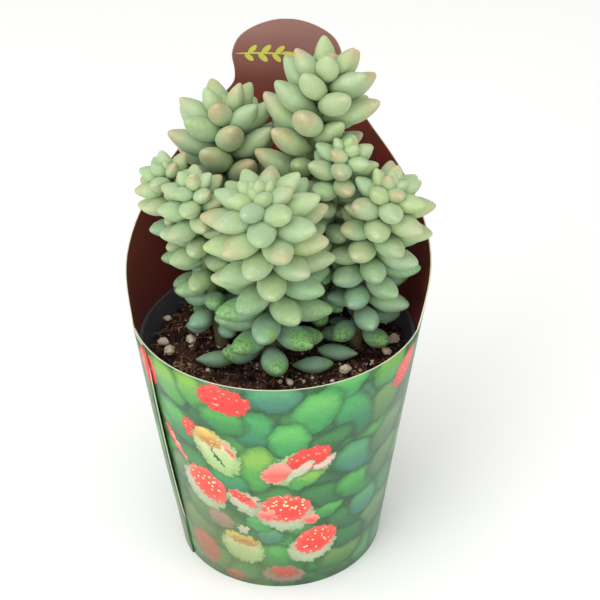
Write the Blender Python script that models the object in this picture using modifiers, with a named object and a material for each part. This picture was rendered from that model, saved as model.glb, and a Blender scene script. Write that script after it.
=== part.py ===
"""Potted burro's tail: seven fleshy shoots in a thin nursery pot of peat, inside a printed card sleeve.

Metres, +Z up. The origin is the middle of the pot's base, where the whole thing stands. The sleeve's
tall tab is at the back, +Y. Every size that can be set by itself has one named value below.
"""

import math
from collections import namedtuple

import bmesh
import bpy
import numpy as np
from mathutils import Matrix, Vector

MM = 0.001

# Card sleeve: a cone of thin card, cut low at the front, with a tall round-headed tab at the back.
CARD = 0.4 * MM
SLEEVE_FOOT_RADIUS = 33.1 * MM
SLEEVE_TAPER = 0.133
SLEEVE_FRONT = 86.0 * MM
SLEEVE_COLUMNS = 48
TAB_COLUMNS = 28
# The tab's outline above the front rim: share of the tab's height, half-width as an angle round the cone.
TAB_HEIGHT = 69.8 * MM
TAB_OUTLINE = (
    (0.05, 101.0),
    (0.18, 89.0),
    (0.33, 62.5),
    (0.55, 35.5),
    (0.67, 25.0),
    (0.735, 18.6),
    (0.85, 19.6),
    (0.925, 17.2),
    (0.97, 11.5),
    (1.0, 4.0),
)

# Nursery pot: thin tapered plastic with a stepped rim band, and drain holes in its floor.
POT_HEIGHT = 75.5 * MM
FOOT_ROOM = 3.6 * MM
POT_WALL = 1.0 * MM
POT_FLOOR = 1.4 * MM
RIM_BAND = 6.0 * MM
RIM_STEP = 1.6 * MM
POT_STEPS = 48
DRAIN_HOLES = 6
DRAIN_RADIUS = 3.0 * MM
DRAIN_CIRCLE = 21.0 * MM

# Peat, with chips of pumice on it: each chip's place as a share of the peat's radius, and its bearing.
SOIL_DROP = 4.0 * MM
SOIL_TOP = POT_HEIGHT - SOIL_DROP
SOIL_STEPS = 36
ROOT_DEPTH = 9.0 * MM
CHIP_RADIUS = 1.5 * MM
CHIPS = (
    (0.90, -174), (0.86, -166), (0.95, 165), (0.68, -175),
    (0.67, -35), (0.58, -77), (0.91, 2), (0.87, -8),
)

# Gap left between neighbouring pieces.
FIT = 0.3 * MM

# Stems and leaves.
STEM_FOOT_RADIUS = 2.3 * MM
STEM_TIP_RADIUS = 1.4 * MM
STEM_SIDES = 8
STEM_POINTS = 12
KNEE_HEIGHT = 0.55
TOP_BARE = 0.02
LEAFY_SHARE = 0.90
LEAF_LENGTH = 17.0 * MM
LEAF_WIDTH = 7.7 * MM
LEAF_FLATNESS = 0.82
LEAF_PLUMPNESS = 0.6
LEAF_WIDEST = 0.55
LEAF_CURL = 0.10
LEAF_SIDES = 6
LEAF_RINGS = 4
BUD_SHARE = 0.18
LOOSE_LEAVES = 5
CROWN_SHARE = 0.045
GOLDEN_ANGLE = math.radians(137.508)

# Each shoot: where its stem leaves the peat, where it bends and where it ends, with the end's height over
# the peat, in millimetres; its longest leaf as a share of LEAF_LENGTH; its number of leaves; the bearing
# of its top leaf; which way its leaves spiral; how wide they open; how they crowd towards the tip; and its
# smallest leaf as a share of its longest.
Shoot = namedtuple("Shoot", "name foot knee tip leaf_share leaves turn hand openness crowding smallest")
SHOOTS = (
    Shoot("front", (-2.6, -12.2), (2.2, -9.9), (-3.2, -13.4, 58.5), 1.12, 62, 92, 1, 0.94, 1.65, 0.28),
    Shoot("left", (-17.0, -1.0), (-21.3, 0.6), (-23.0, -5.4, 57.0), 0.75, 42, 283, -1, 0.95, 1.5, 0.45),
    Shoot("far_left", (-20.0, 11.7), (-26.0, 12.0), (-32.8, 7.1, 54.5), 0.73, 42, 225, -1, 0.92, 1.5, 0.55),
    Shoot("back_left", (-7.2, 18.5), (-14.6, 20.8), (-17.0, 23.6, 65.5), 1.147, 40, 212, 1, 0.66, 1.5, 0.6),
    Shoot("tall", (5.0, 14.3), (5.4, 15.5), (15.0, 18.0, 82.5), 1.147, 48, 358, 1, 0.84, 1.3, 0.58),
    Shoot("middle", (13.4, 5.0), (11.8, 7.5), (21.0, 5.5, 64.0), 0.82, 46, 62, -1, 0.95, 1.6, 0.4),
    Shoot("right", (23.9, 0.5), (26.0, 3.3), (33.2, 0.4, 55.0), 0.95, 52, 353, -1, 0.93, 1.55, 0.38),
)

# Leaves that have dropped on the peat: share of its radius, bearing, heading in degrees.
FALLEN = ((0.71, -148, 8), (0.435, -71, 8), (0.68, -20, 172))
FALLEN_SIZE = 0.72

# How the leaves settle beside each other.
SETTLE_STEPS = 90
LOOK_AGAIN = 10
LOOK_ROOM = 3.0 * MM
STATIONS = np.array((0.28, 0.5, 0.72, 0.9))
SPRING = 0.04


def sleeve_radius(z):
    """Outside of the sleeve at a height."""
    return SLEEVE_FOOT_RADIUS + SLEEVE_TAPER * z


def pot_room(z):
    """Outermost radius a piece inside the sleeve may have at a height."""
    return sleeve_radius(z) - CARD - FIT


def pot_wall_radius(z):
    """Outside of the pot's tapered wall."""
    band = POT_HEIGHT - RIM_BAND
    foot = SLEEVE_FOOT_RADIUS - FOOT_ROOM
    top = pot_room(band) - RIM_STEP
    return foot + (top - foot) * z / band


def soil_radius(z):
    """The peat fills the pot's tapered wall, less the gap."""
    return pot_wall_radius(z) - POT_WALL - FIT


def on_soil(share, bearing):
    """Place on the peat at a share of its radius and a bearing from +X."""
    reach = share * soil_radius(SOIL_TOP)
    return reach * math.cos(math.radians(bearing)), reach * math.sin(math.radians(bearing))


def leaf_girth(along):
    """Radius of a leaf, as a share of its widest, at a share of its length from its base."""
    base = np.sin(np.pi / 2 * np.clip(along / LEAF_WIDEST, 0.0, 1.0)) ** 0.9
    tip = np.cos(np.pi / 2 * np.clip((along - LEAF_WIDEST) / (1 - LEAF_WIDEST), 0.0, 1.0)) ** 0.6
    return base * tip


def opening(share):
    """Usual angle between a leaf and its stem, from the tip of the shoot (0) to its foot (1)."""
    down = (0.0, 0.08, 0.16, 0.28, 0.42, 0.7, 1.0)
    angles = (8.0, 28.0, 45.0, 62.0, 76.0, 90.0, 98.0)
    return np.radians(np.interp(share, down, angles))


def leaf_size(share, smallest):
    """Length of a leaf as a share of the shoot's longest: small at the tip, and less again at the foot."""
    grown = np.interp(share, (0.0, 0.1, 0.2, 0.32), (0.0, 0.4, 0.75, 1.0))
    return (smallest + (1.0 - smallest) * grown) * np.interp(share, (0.32, 0.8, 1.0), (1.0, 0.95, 0.84))


def stem_point(shoot, share):
    """Point and direction on a shoot's stem, from its foot (0) to its tip (1)."""
    foot = Vector((shoot.foot[0] * MM, shoot.foot[1] * MM, SOIL_TOP))
    tip = Vector((shoot.tip[0] * MM, shoot.tip[1] * MM, SOIL_TOP + shoot.tip[2] * MM))
    knee = Vector((shoot.knee[0] * MM, shoot.knee[1] * MM, foot.z + KNEE_HEIGHT * (tip.z - foot.z)))
    point = foot * (1 - share) ** 2 + knee * 2 * share * (1 - share) + tip * share ** 2
    heading = (knee - foot) * (1 - share) + (tip - knee) * share
    return point, heading.normalized()


def stem_radius(share):
    return STEM_FOOT_RADIUS + (STEM_TIP_RADIUS - STEM_FOOT_RADIUS) * share


def grow():
    """Every leaf of every shoot, in the order they sit from tip to foot, before they settle."""
    leaves = []
    side = Vector((1.0, 0.0, 0.0))
    for number, shoot in enumerate(SHOOTS):
        for index in range(shoot.leaves):
            share = index / (shoot.leaves - 1)
            up_stem = 1.0 - TOP_BARE - LEAFY_SHARE * share ** shoot.crowding
            point, heading = stem_point(shoot, up_stem)
            across = (side - heading * side.dot(heading)).normalized()
            turn = math.radians(shoot.turn) + shoot.hand * index * GOLDEN_ANGLE
            outward = Matrix.Rotation(turn, 3, heading) @ across
            angle = shoot.openness * float(opening(share))
            length = LEAF_LENGTH * shoot.leaf_share * float(leaf_size(share, shoot.smallest))
            leaves.append({
                "shoot": number,
                "loose": shoot.leaves - index <= LOOSE_LEAVES,
                "crown": share < CROWN_SHARE,
                "base": point,
                "heading": heading,
                "direction": heading * math.cos(angle) + outward * math.sin(angle),
                "length": length,
                "width": LEAF_WIDTH * (length / LEAF_LENGTH) ** LEAF_PLUMPNESS,
                "stem": stem_radius(up_stem),
            })
    return leaves


def still_spheres():
    """Spheres that leaves keep off: centre, radius, and the shoot whose stem it is or -1."""
    centres, radii, owners = [], [], []
    for number, shoot in enumerate(SHOOTS):
        for share in np.linspace(0.0, 0.95, 16):
            centres.append(stem_point(shoot, float(share))[0])
            radii.append(stem_radius(float(share)))
            owners.append(number)
    for chip in CHIPS:
        centres.append((*on_soil(*chip), SOIL_TOP + CHIP_RADIUS))
        radii.append(1.6 * CHIP_RADIUS)
        owners.append(-1)
    for fallen in FALLEN:
        frame = fallen_frame(fallen)
        for along in STATIONS:
            centres.append(frame @ Vector((0.0, 0.0, along * LEAF_LENGTH * FALLEN_SIZE)))
            radii.append(LEAF_WIDTH * FALLEN_SIZE / 2 * float(leaf_girth(along)))
            owners.append(-1)
    return np.array(centres), np.array(radii), np.array(owners)


def leaf_spheres(base, direction, length, width):
    centres = base[:, None, :] + direction[:, None, :] * length[:, None, None] * STATIONS[None, :, None]
    radii = width[:, None] * 0.5 * leaf_girth(STATIONS)[None, :]
    return centres, radii


def crossings(centres, radii, others, other_radii, apart):
    """How far each sphere of the first set runs into each of the second, with the unit push between them."""
    offset = centres[:, None, :] - others[None, :, :]
    distance = np.linalg.norm(offset, axis=2)
    depth = np.clip(radii[:, None] + other_radii[None, :] + apart - distance, 0.0, None)
    return depth, offset / np.maximum(distance, 1e-9)[:, :, None]


def wall_push(centres, radii):
    """Push on spheres that run into the sleeve or the peat."""
    push = np.zeros_like(centres)
    reach = np.linalg.norm(centres[:, :2], axis=1)
    room = pot_room(centres[:, 2]) - radii
    inside = np.clip(reach - room, 0.0, None) * (centres[:, 2] < sleeve_top(centres))
    push[:, :2] -= centres[:, :2] / np.maximum(reach, 1e-9)[:, None] * inside[:, None]
    push[:, 2] += np.clip(SOIL_TOP + FIT + radii - centres[:, 2], 0.0, None)
    return push


def sleeve_top(centres):
    """Height of the sleeve's edge in the direction of each point, with a margin over the front rim."""
    bearing = np.degrees(np.abs(np.arctan2(centres[:, 0], centres[:, 1])))
    heights = [SLEEVE_FRONT + TAB_HEIGHT * share for share, _ in reversed(TAB_OUTLINE)]
    angles = [angle for _, angle in reversed(TAB_OUTLINE)]
    return np.interp(bearing, angles + [180.0], heights + [SLEEVE_FRONT]) + 6.0 * MM


def settle(leaves):
    """Turns the leaves about their bases until none runs into another, a stem, the peat or the sleeve."""
    base = np.array([leaf["base"] for leaf in leaves])
    start = np.array([leaf["direction"] for leaf in leaves])
    length = np.array([leaf["length"] for leaf in leaves])
    width = np.array([leaf["width"] for leaf in leaves])
    shoot = np.array([leaf["shoot"] for leaf in leaves])
    still, still_radii, still_shoot = still_spheres()
    count = len(STATIONS)
    owner = np.repeat(np.arange(len(leaves)), count)
    own_stem = shoot[owner][:, None] == still_shoot[None, :]
    lever = np.tile(STATIONS, len(leaves))
    direction = start.copy()
    for step in range(SETTLE_STEPS):
        centres, radii = leaf_spheres(base, direction, length, width)
        flat, flat_radii = centres.reshape(-1, 3), radii.reshape(-1)
        if step % LOOK_AGAIN == 0:
            one, other = close_pairs(flat, flat_radii, owner)
            apart = np.where(shoot[owner[one]] == shoot[owner[other]], 0.0, FIT)
        offset = flat[one] - flat[other]
        distance = np.maximum(np.linalg.norm(offset, axis=1), 1e-9)
        depth = np.clip(flat_radii[one] + flat_radii[other] + apart - distance, 0.0, None)
        shove = offset * (0.5 * depth / distance)[:, None]
        push = np.zeros_like(flat)
        np.add.at(push, one, shove)
        np.add.at(push, other, -shove)
        depth, away = crossings(flat, flat_radii, still, still_radii, FIT)
        depth[own_stem] = 0.0
        push += (depth[:, :, None] * away).sum(axis=1)
        push += wall_push(flat, flat_radii)
        turn = (push * lever[:, None]).reshape(-1, count, 3).sum(axis=1) / length[:, None]
        direction = direction + 0.45 * turn + SPRING * (start - direction)
        direction /= np.linalg.norm(direction, axis=1, keepdims=True)
    for leaf, way in zip(leaves, direction):
        leaf["direction"] = Vector(way)
    slim(leaves, still, still_radii, still_shoot)
    return leaves


def close_pairs(centres, radii, owner):
    """Pairs of spheres on different leaves that are near enough to meet soon."""
    distance = np.linalg.norm(centres[:, None, :] - centres[None, :, :], axis=2)
    near = distance < radii[:, None] + radii[None, :] + LOOK_ROOM
    near &= owner[:, None] < owner[None, :]
    return np.nonzero(near)


def slim(leaves, still, still_radii, still_shoot):
    """Takes a little off any leaf that still touches a piece it is not joined to."""
    base = np.array([leaf["base"] for leaf in leaves])
    way = np.array([leaf["direction"] for leaf in leaves])
    long = np.array([leaf["length"] for leaf in leaves])
    wide = np.array([leaf["width"] for leaf in leaves])
    shoot = np.array([leaf["shoot"] for leaf in leaves])
    loose = np.array([leaf["loose"] for leaf in leaves])
    count = len(STATIONS)
    owner = np.repeat(np.arange(len(leaves)), count)
    own_stem = shoot[owner][:, None] == still_shoot[None, :]
    centres, radii = leaf_spheres(base, way, long, wide)
    one, other = close_pairs(centres.reshape(-1, 3), radii.reshape(-1), owner)
    joined = (shoot[owner[one]] == shoot[owner[other]]) & ~loose[owner[one]] & ~loose[owner[other]]
    one, other = one[~joined], other[~joined]
    shrink = np.ones(len(leaves))
    for _ in range(40):
        centres, radii = leaf_spheres(base, way, long * shrink, wide * shrink)
        flat, flat_radii = centres.reshape(-1, 3), radii.reshape(-1)
        worst = np.linalg.norm(wall_push(flat, flat_radii), axis=1)
        depth = flat_radii[one] + flat_radii[other] + FIT - np.linalg.norm(flat[one] - flat[other], axis=1)
        np.maximum.at(worst, one, depth)
        np.maximum.at(worst, other, depth)
        depth, _ = crossings(flat, flat_radii, still, still_radii, FIT)
        depth[own_stem] = 0.0
        worst = np.maximum(worst, depth.max(axis=1))
        touching = worst.reshape(-1, count).max(axis=1) > 0.0
        if not touching.any():
            break
        shrink[touching] *= 0.96
    for leaf, share in zip(leaves, shrink):
        leaf["shrink"] = float(share)


def leaf_frame(leaf, gap):
    """Places a leaf shape, +Z along the leaf and +Y to its inner face, this far from the stem's axis."""
    along = leaf["direction"]
    inner = (leaf["heading"] - along * leaf["heading"].dot(along)).normalized()
    flat = inner.cross(along)
    origin = leaf["base"] + along * gap
    return Matrix((
        (flat.x, inner.x, along.x, origin.x),
        (flat.y, inner.y, along.y, origin.y),
        (flat.z, inner.z, along.z, origin.z),
        (0.0, 0.0, 0.0, 1.0),
    ))


def add_leaf(work, length, width, frame):
    """Adds one closed leaf to a bmesh: a rounded spindle, a little flattened, curling to its inner face."""
    made = bmesh.ops.create_uvsphere(work, u_segments=LEAF_SIDES, v_segments=LEAF_RINGS, radius=1.0)
    for vert in made["verts"]:
        along = 0.5 * (1.0 + vert.co.z)
        ring = math.hypot(vert.co.x, vert.co.y)
        grow_by = float(leaf_girth(along)) / ring if ring > 1e-4 else 0.0
        curl = LEAF_CURL * length * (along ** 2 - along)
        girth = grow_by * width / 2
        vert.co = Vector((vert.co.x * girth, vert.co.y * girth * LEAF_FLATNESS + curl, along * length))
    bmesh.ops.transform(work, matrix=frame, verts=made["verts"])


def new_object(name, mesh, collection, material=None):
    thing = bpy.data.objects.new(name, mesh)
    collection.objects.link(thing)
    if material:
        mesh.materials.append(material)
    return thing


def mesh_from(work, name):
    mesh = bpy.data.meshes.new(name)
    work.normal_update()
    work.to_mesh(mesh)
    work.free()
    mesh.shade_smooth()
    mesh.set_sharp_from_angle(angle=math.radians(40))
    return mesh


def material(name, colour, roughness, metallic=0.0):
    made = bpy.data.materials.new(name)
    made.use_nodes = True
    surface = made.node_tree.nodes["Principled BSDF"]
    surface.inputs["Base Color"].default_value = (*colour, 1.0)
    surface.inputs["Roughness"].default_value = roughness
    surface.inputs["Metallic"].default_value = metallic
    return made


def boolean(thing, tool, operation):
    cut = thing.modifiers.new(operation.lower(), "BOOLEAN")
    cut.object = tool
    cut.operation = operation
    cut.solver = "EXACT"
    cut.use_self = operation == "UNION"


def make_helper(name, mesh, cutters):
    tool = new_object(name, mesh, cutters)
    tool.hide_render = True
    tool.display_type = "WIRE"
    return tool


def make_sleeve(parts):
    """A full cone up to the front rim, then the tab grown upwards from its back columns."""
    work = bmesh.new()
    bmesh.ops.create_cone(
        work, cap_ends=False, segments=SLEEVE_COLUMNS, depth=SLEEVE_FRONT,
        radius1=sleeve_radius(0.0), radius2=sleeve_radius(SLEEVE_FRONT),
        matrix=Matrix.Translation((0.0, 0.0, SLEEVE_FRONT / 2)) @ Matrix.Rotation(math.radians(90), 4, "Z"),
    )
    half = math.pi * TAB_COLUMNS / SLEEVE_COLUMNS
    margin = math.pi / SLEEVE_COLUMNS / 4
    behind = {
        vert for vert in work.verts
        if vert.co.z > SLEEVE_FRONT - MM and abs(math.atan2(vert.co.x, vert.co.y)) < half + margin
    }
    row = [edge for edge in work.edges if all(vert in behind for vert in edge.verts)]
    for share, angle in TAB_OUTLINE:
        height = SLEEVE_FRONT + TAB_HEIGHT * share
        narrow = math.radians(angle) / half
        grown = bmesh.ops.extrude_edge_only(work, edges=row)["geom"]
        row = [item for item in grown if isinstance(item, bmesh.types.BMEdge)]
        for vert in (item for item in grown if isinstance(item, bmesh.types.BMVert)):
            bearing = math.atan2(vert.co.x, vert.co.y) * narrow
            vert.co = Vector((math.sin(bearing), math.cos(bearing), 0.0)) * sleeve_radius(height)
            vert.co.z = height
        half = math.radians(angle)
    bmesh.ops.recalc_face_normals(work, faces=work.faces)
    finish = material("printed_card", (0.20, 0.42, 0.18), 0.35)
    sleeve = new_object("sleeve", mesh_from(work, "sleeve"), parts, finish)
    wall = sleeve.modifiers.new("card", "SOLIDIFY")
    wall.thickness = CARD
    wall.offset = -1.0
    return sleeve


def make_pot(parts, cutters):
    band = POT_HEIGHT - RIM_BAND
    inner_band = pot_wall_radius(band) - POT_WALL
    profile = (
        (0.0, POT_FLOOR),
        (pot_wall_radius(POT_FLOOR) - POT_WALL, POT_FLOOR),
        (inner_band, band - RIM_STEP),
        (pot_room(band) - POT_WALL, band + RIM_STEP),
        (pot_room(POT_HEIGHT) - POT_WALL, POT_HEIGHT),
        (pot_room(POT_HEIGHT), POT_HEIGHT),
        (pot_room(band), band),
        (pot_wall_radius(band), band),
        (pot_wall_radius(0.0), 0.0),
        (0.0, 0.0),
    )
    work = bmesh.new()
    verts = [work.verts.new((radius, 0.0, height)) for radius, height in profile]
    for first, second in zip(verts, verts[1:]):
        work.edges.new((first, second))
    mesh = bpy.data.meshes.new("pot")
    work.to_mesh(mesh)
    work.free()
    pot = new_object("pot", mesh, parts, material("grey_plastic", (0.045, 0.045, 0.05), 0.45))
    spin = pot.modifiers.new("turned", "SCREW")
    spin.steps = POT_STEPS
    spin.render_steps = POT_STEPS
    spin.use_merge_vertices = True
    spin.merge_threshold = 0.0001
    spin.use_smooth_shade = False
    work = bmesh.new()
    for number in range(DRAIN_HOLES):
        angle = math.tau * (number + 0.5) / DRAIN_HOLES
        centre = Matrix.Translation((DRAIN_CIRCLE * math.cos(angle), DRAIN_CIRCLE * math.sin(angle), 0.0))
        bmesh.ops.create_cone(
            work, cap_ends=True, segments=12, radius1=DRAIN_RADIUS, radius2=DRAIN_RADIUS,
            depth=4 * POT_FLOOR, matrix=centre,
        )
    boolean(pot, make_helper("drain_cutter", mesh_from(work, "drain_cutter"), cutters), "DIFFERENCE")
    return pot


def make_soil(parts, cutters):
    low, high = POT_FLOOR + FIT, SOIL_TOP
    shoulder = POT_HEIGHT - RIM_BAND - RIM_STEP
    work = bmesh.new()
    bmesh.ops.create_cone(
        work, cap_ends=True, segments=SOIL_STEPS, depth=shoulder - low,
        radius1=soil_radius(low), radius2=soil_radius(shoulder),
        matrix=Matrix.Translation((0.0, 0.0, (low + shoulder) / 2)),
    )
    top = [face for face in work.faces if face.calc_center_median().z > shoulder - 0.1 * MM]
    grown = bmesh.ops.extrude_face_region(work, geom=top)["geom"]
    bmesh.ops.delete(work, geom=top, context="FACES")
    lift = [item for item in grown if isinstance(item, bmesh.types.BMVert)]
    bmesh.ops.translate(work, vec=(0.0, 0.0, high - shoulder), verts=lift)
    soil = new_object("soil", mesh_from(work, "soil"), parts, material("peat", (0.035, 0.02, 0.015), 0.95))
    work = bmesh.new()
    hole = STEM_FOOT_RADIUS + 2 * FIT
    for shoot in SHOOTS:
        foot, _ = stem_point(shoot, 0.0)
        bmesh.ops.create_cone(
            work, cap_ends=True, segments=STEM_SIDES, radius1=hole, radius2=hole,
            depth=2 * (ROOT_DEPTH + FIT), matrix=Matrix.Translation(foot),
        )
    boolean(soil, make_helper("root_cutter", mesh_from(work, "root_cutter"), cutters), "DIFFERENCE")
    return soil


def make_chips(parts):
    finish = material("pumice", (0.75, 0.70, 0.60), 0.9)
    for number, chip in enumerate(CHIPS):
        size = CHIP_RADIUS * (1.0 + 0.25 * math.sin(2.3 * number))
        work = bmesh.new()
        bmesh.ops.create_icosphere(work, subdivisions=1, radius=size)
        bmesh.ops.scale(work, vec=(1.25, 0.95, 0.8), verts=work.verts)
        turn = Matrix.Rotation(1.7 * number, 3, "Z")
        bmesh.ops.rotate(work, cent=(0.0, 0.0, 0.0), matrix=turn, verts=work.verts)
        bmesh.ops.translate(work, vec=(*on_soil(*chip), SOIL_TOP + FIT + 0.8 * size), verts=work.verts)
        new_object(f"chip_{number + 1}", mesh_from(work, "chip"), parts, finish)


def make_stem(shoot, parts):
    """A tapering stem with its root end in the peat, as a bevelled curve made a mesh."""
    line = bpy.data.curves.new("stem_line", "CURVE")
    line.dimensions = "3D"
    line.bevel_depth = STEM_FOOT_RADIUS
    line.bevel_resolution = (STEM_SIDES - 4) // 2
    line.use_fill_caps = True
    spline = line.splines.new("POLY")
    points = [(stem_point(shoot, 0.0)[0] - Vector((0.0, 0.0, ROOT_DEPTH)), 1.0)]
    for share in np.linspace(0.0, 1.0, STEM_POINTS):
        points.append((stem_point(shoot, float(share))[0], stem_radius(float(share)) / STEM_FOOT_RADIUS))
    spline.points.add(len(points) - 1)
    for spot, (place, girth) in zip(spline.points, points):
        spot.co = (*place, 1.0)
        spot.radius = girth
    curve = bpy.data.objects.new("stem_line", line)
    parts.objects.link(curve)
    bpy.context.view_layer.update()
    mesh = bpy.data.meshes.new_from_object(curve.evaluated_get(bpy.context.evaluated_depsgraph_get()))
    bpy.data.objects.remove(curve)
    work = bmesh.new()
    work.from_mesh(mesh)
    bmesh.ops.remove_doubles(work, verts=work.verts, dist=0.00001)
    bmesh.ops.recalc_face_normals(work, faces=work.faces)
    work.to_mesh(mesh)
    work.free()
    return mesh


def make_shoots(parts, cutters):
    """Each shoot's stem, bud and upper leaves are one piece; its lowest leaves are pieces of their own."""
    stem_finish = material("stem", (0.30, 0.42, 0.24), 0.6)
    leaf_finish = material("leaf", (0.36, 0.55, 0.33), 0.5)
    leaves = settle(grow())
    for number, shoot in enumerate(SHOOTS):
        name = shoot.name
        body = new_object(f"shoot_{name}", make_stem(shoot, parts), parts, stem_finish)
        tip, heading = stem_point(shoot, 1.0)
        bud = Matrix.Translation(tip) @ heading.to_track_quat("Z", "Y").to_matrix().to_4x4()
        work = bmesh.new()
        bmesh.ops.create_uvsphere(
            work, u_segments=LEAF_SIDES, v_segments=LEAF_RINGS,
            radius=BUD_SHARE * LEAF_LENGTH * shoot.leaf_share, matrix=bud,
        )
        loose = 0
        for leaf in (leaf for leaf in leaves if leaf["shoot"] == number):
            length, width = leaf["length"] * leaf["shrink"], leaf["width"] * leaf["shrink"]
            if leaf["loose"]:
                loose += 1
                gap = leaf["stem"] / max(leaf["direction"].cross(leaf["heading"]).length, 0.5) + FIT
                piece = bmesh.new()
                add_leaf(piece, length - gap, width, leaf_frame(leaf, gap))
                new_object(f"leaf_{name}_{loose}", mesh_from(piece, "leaf"), parts, leaf_finish)
            elif not leaf["crown"]:
                add_leaf(work, length, width, leaf_frame(leaf, 0.0))
        crown = make_helper(f"{name}_crown", mesh_from(work, f"{name}_crown"), cutters)
        crown.data.materials.append(leaf_finish)
        boolean(body, crown, "UNION")


def fallen_frame(fallen):
    """Lays a leaf shape flat on the peat, along its heading."""
    share, bearing, heading = fallen
    height = SOIL_TOP + FIT + LEAF_WIDTH * FALLEN_SIZE / 2
    place = Matrix.Translation((*on_soil(share, bearing), height))
    turned = Matrix.Rotation(math.radians(heading), 4, "Z") @ Matrix.Rotation(math.radians(90), 4, "Y")
    return place @ turned @ Matrix.Rotation(math.radians(90), 4, "Z")


def make_fallen(parts):
    finish = material("dropped_leaf", (0.30, 0.46, 0.30), 0.6)
    for number, fallen in enumerate(FALLEN):
        work = bmesh.new()
        add_leaf(work, LEAF_LENGTH * FALLEN_SIZE, LEAF_WIDTH * FALLEN_SIZE, fallen_frame(fallen))
        new_object(f"fallen_leaf_{number + 1}", mesh_from(work, "fallen"), parts, finish)


def main():
    for thing in list(bpy.data.objects):
        bpy.data.objects.remove(thing)
    parts = bpy.data.collections.new("potted_burros_tail")
    cutters = bpy.data.collections.new("cutters")
    bpy.context.scene.collection.children.link(parts)
    bpy.context.scene.collection.children.link(cutters)
    make_pot(parts, cutters)
    make_sleeve(parts)
    make_soil(parts, cutters)
    make_chips(parts)
    make_shoots(parts, cutters)
    make_fallen(parts)


main()
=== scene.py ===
# %% [markdown]
# # A potted burro's tail, finished
#
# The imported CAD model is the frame: a thin nursery pot of peat in a printed card sleeve, and seven shoots
# of fleshy leaves. This script gives each part its finished shape and its look, in the same place and at
# the same size. Lengths are in metres, +Z is up, and the sleeve's tall tab stands at +Y.

# %% Load the frame
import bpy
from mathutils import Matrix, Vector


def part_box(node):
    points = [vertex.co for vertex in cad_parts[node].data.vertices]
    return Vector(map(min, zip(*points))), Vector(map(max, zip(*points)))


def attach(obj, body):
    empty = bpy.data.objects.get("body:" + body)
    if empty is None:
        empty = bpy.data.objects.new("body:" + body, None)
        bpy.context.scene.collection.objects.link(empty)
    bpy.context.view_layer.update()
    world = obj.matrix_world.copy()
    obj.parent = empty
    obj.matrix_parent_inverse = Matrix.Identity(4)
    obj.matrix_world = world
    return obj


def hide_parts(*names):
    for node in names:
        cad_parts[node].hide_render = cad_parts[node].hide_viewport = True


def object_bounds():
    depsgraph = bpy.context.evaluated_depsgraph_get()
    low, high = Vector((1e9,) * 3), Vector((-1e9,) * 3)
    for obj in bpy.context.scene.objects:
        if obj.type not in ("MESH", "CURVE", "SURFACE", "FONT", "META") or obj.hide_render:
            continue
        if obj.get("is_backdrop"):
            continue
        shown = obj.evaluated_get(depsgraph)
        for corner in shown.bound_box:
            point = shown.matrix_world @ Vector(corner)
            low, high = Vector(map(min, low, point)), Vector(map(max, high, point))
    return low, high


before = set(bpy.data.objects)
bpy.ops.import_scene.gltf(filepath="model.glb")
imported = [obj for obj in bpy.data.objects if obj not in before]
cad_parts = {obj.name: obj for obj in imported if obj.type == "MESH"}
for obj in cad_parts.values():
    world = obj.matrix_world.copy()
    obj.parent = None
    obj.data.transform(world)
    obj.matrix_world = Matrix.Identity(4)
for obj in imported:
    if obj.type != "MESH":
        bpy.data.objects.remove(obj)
cad_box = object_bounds()
print("parts in the frame:", len(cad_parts))

# %% Tools
import math
import random
from collections import namedtuple

import bmesh
import bpy
import numpy as np
from mathutils import Matrix, Vector, noise

MM = 0.001
HOME = bpy.context.scene.collection


def size_of(node):
    """Length, width and height of a CAD part."""
    low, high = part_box(node)
    return [round((b - a) / MM, 1) for a, b in zip(low, high)]


print("sleeve, mm:", size_of("sleeve"), "pot, mm:", size_of("pot"))

# %% [markdown]
# ## Shader arithmetic
#
# A finish is a tree of shader nodes. Written node by node it is long and hard to follow, so one small class
# wraps a node's output and turns Python arithmetic into Math nodes. A second class holds a material and adds
# any other node through one method.

# %% A wire between nodes
class Wire:
    """One output of a shader node. Arithmetic on it adds Math nodes."""

    def __init__(self, finish, socket):
        self.finish = finish
        self.socket = socket

    def other(self, name):
        """Another output of the same node."""
        return Wire(self.finish, self.socket.node.outputs[name])

    def maths(self, operation, first, second):
        return self.finish.node("ShaderNodeMath", {"operation": operation}, {0: first, 1: second})

    def __add__(self, value):
        return self.maths("ADD", self, value)

    def __sub__(self, value):
        return self.maths("SUBTRACT", self, value)

    def __rsub__(self, value):
        return self.maths("SUBTRACT", value, self)

    def __mul__(self, value):
        return self.maths("MULTIPLY", self, value)

    def __truediv__(self, value):
        return self.maths("DIVIDE", self, value)

    __radd__ = __add__
    __rmul__ = __mul__


# %% A finish and its nodes
def paint(red, green, blue):
    """A colour given on the usual 0 to 255 scale, as the linear values that shaders take."""
    shares = (part / 255 for part in (red, green, blue))
    linear = (((part + 0.055) / 1.055) ** 2.4 if part > 0.04045 else part / 12.92 for part in shares)
    return (*linear, 1.0)


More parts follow.
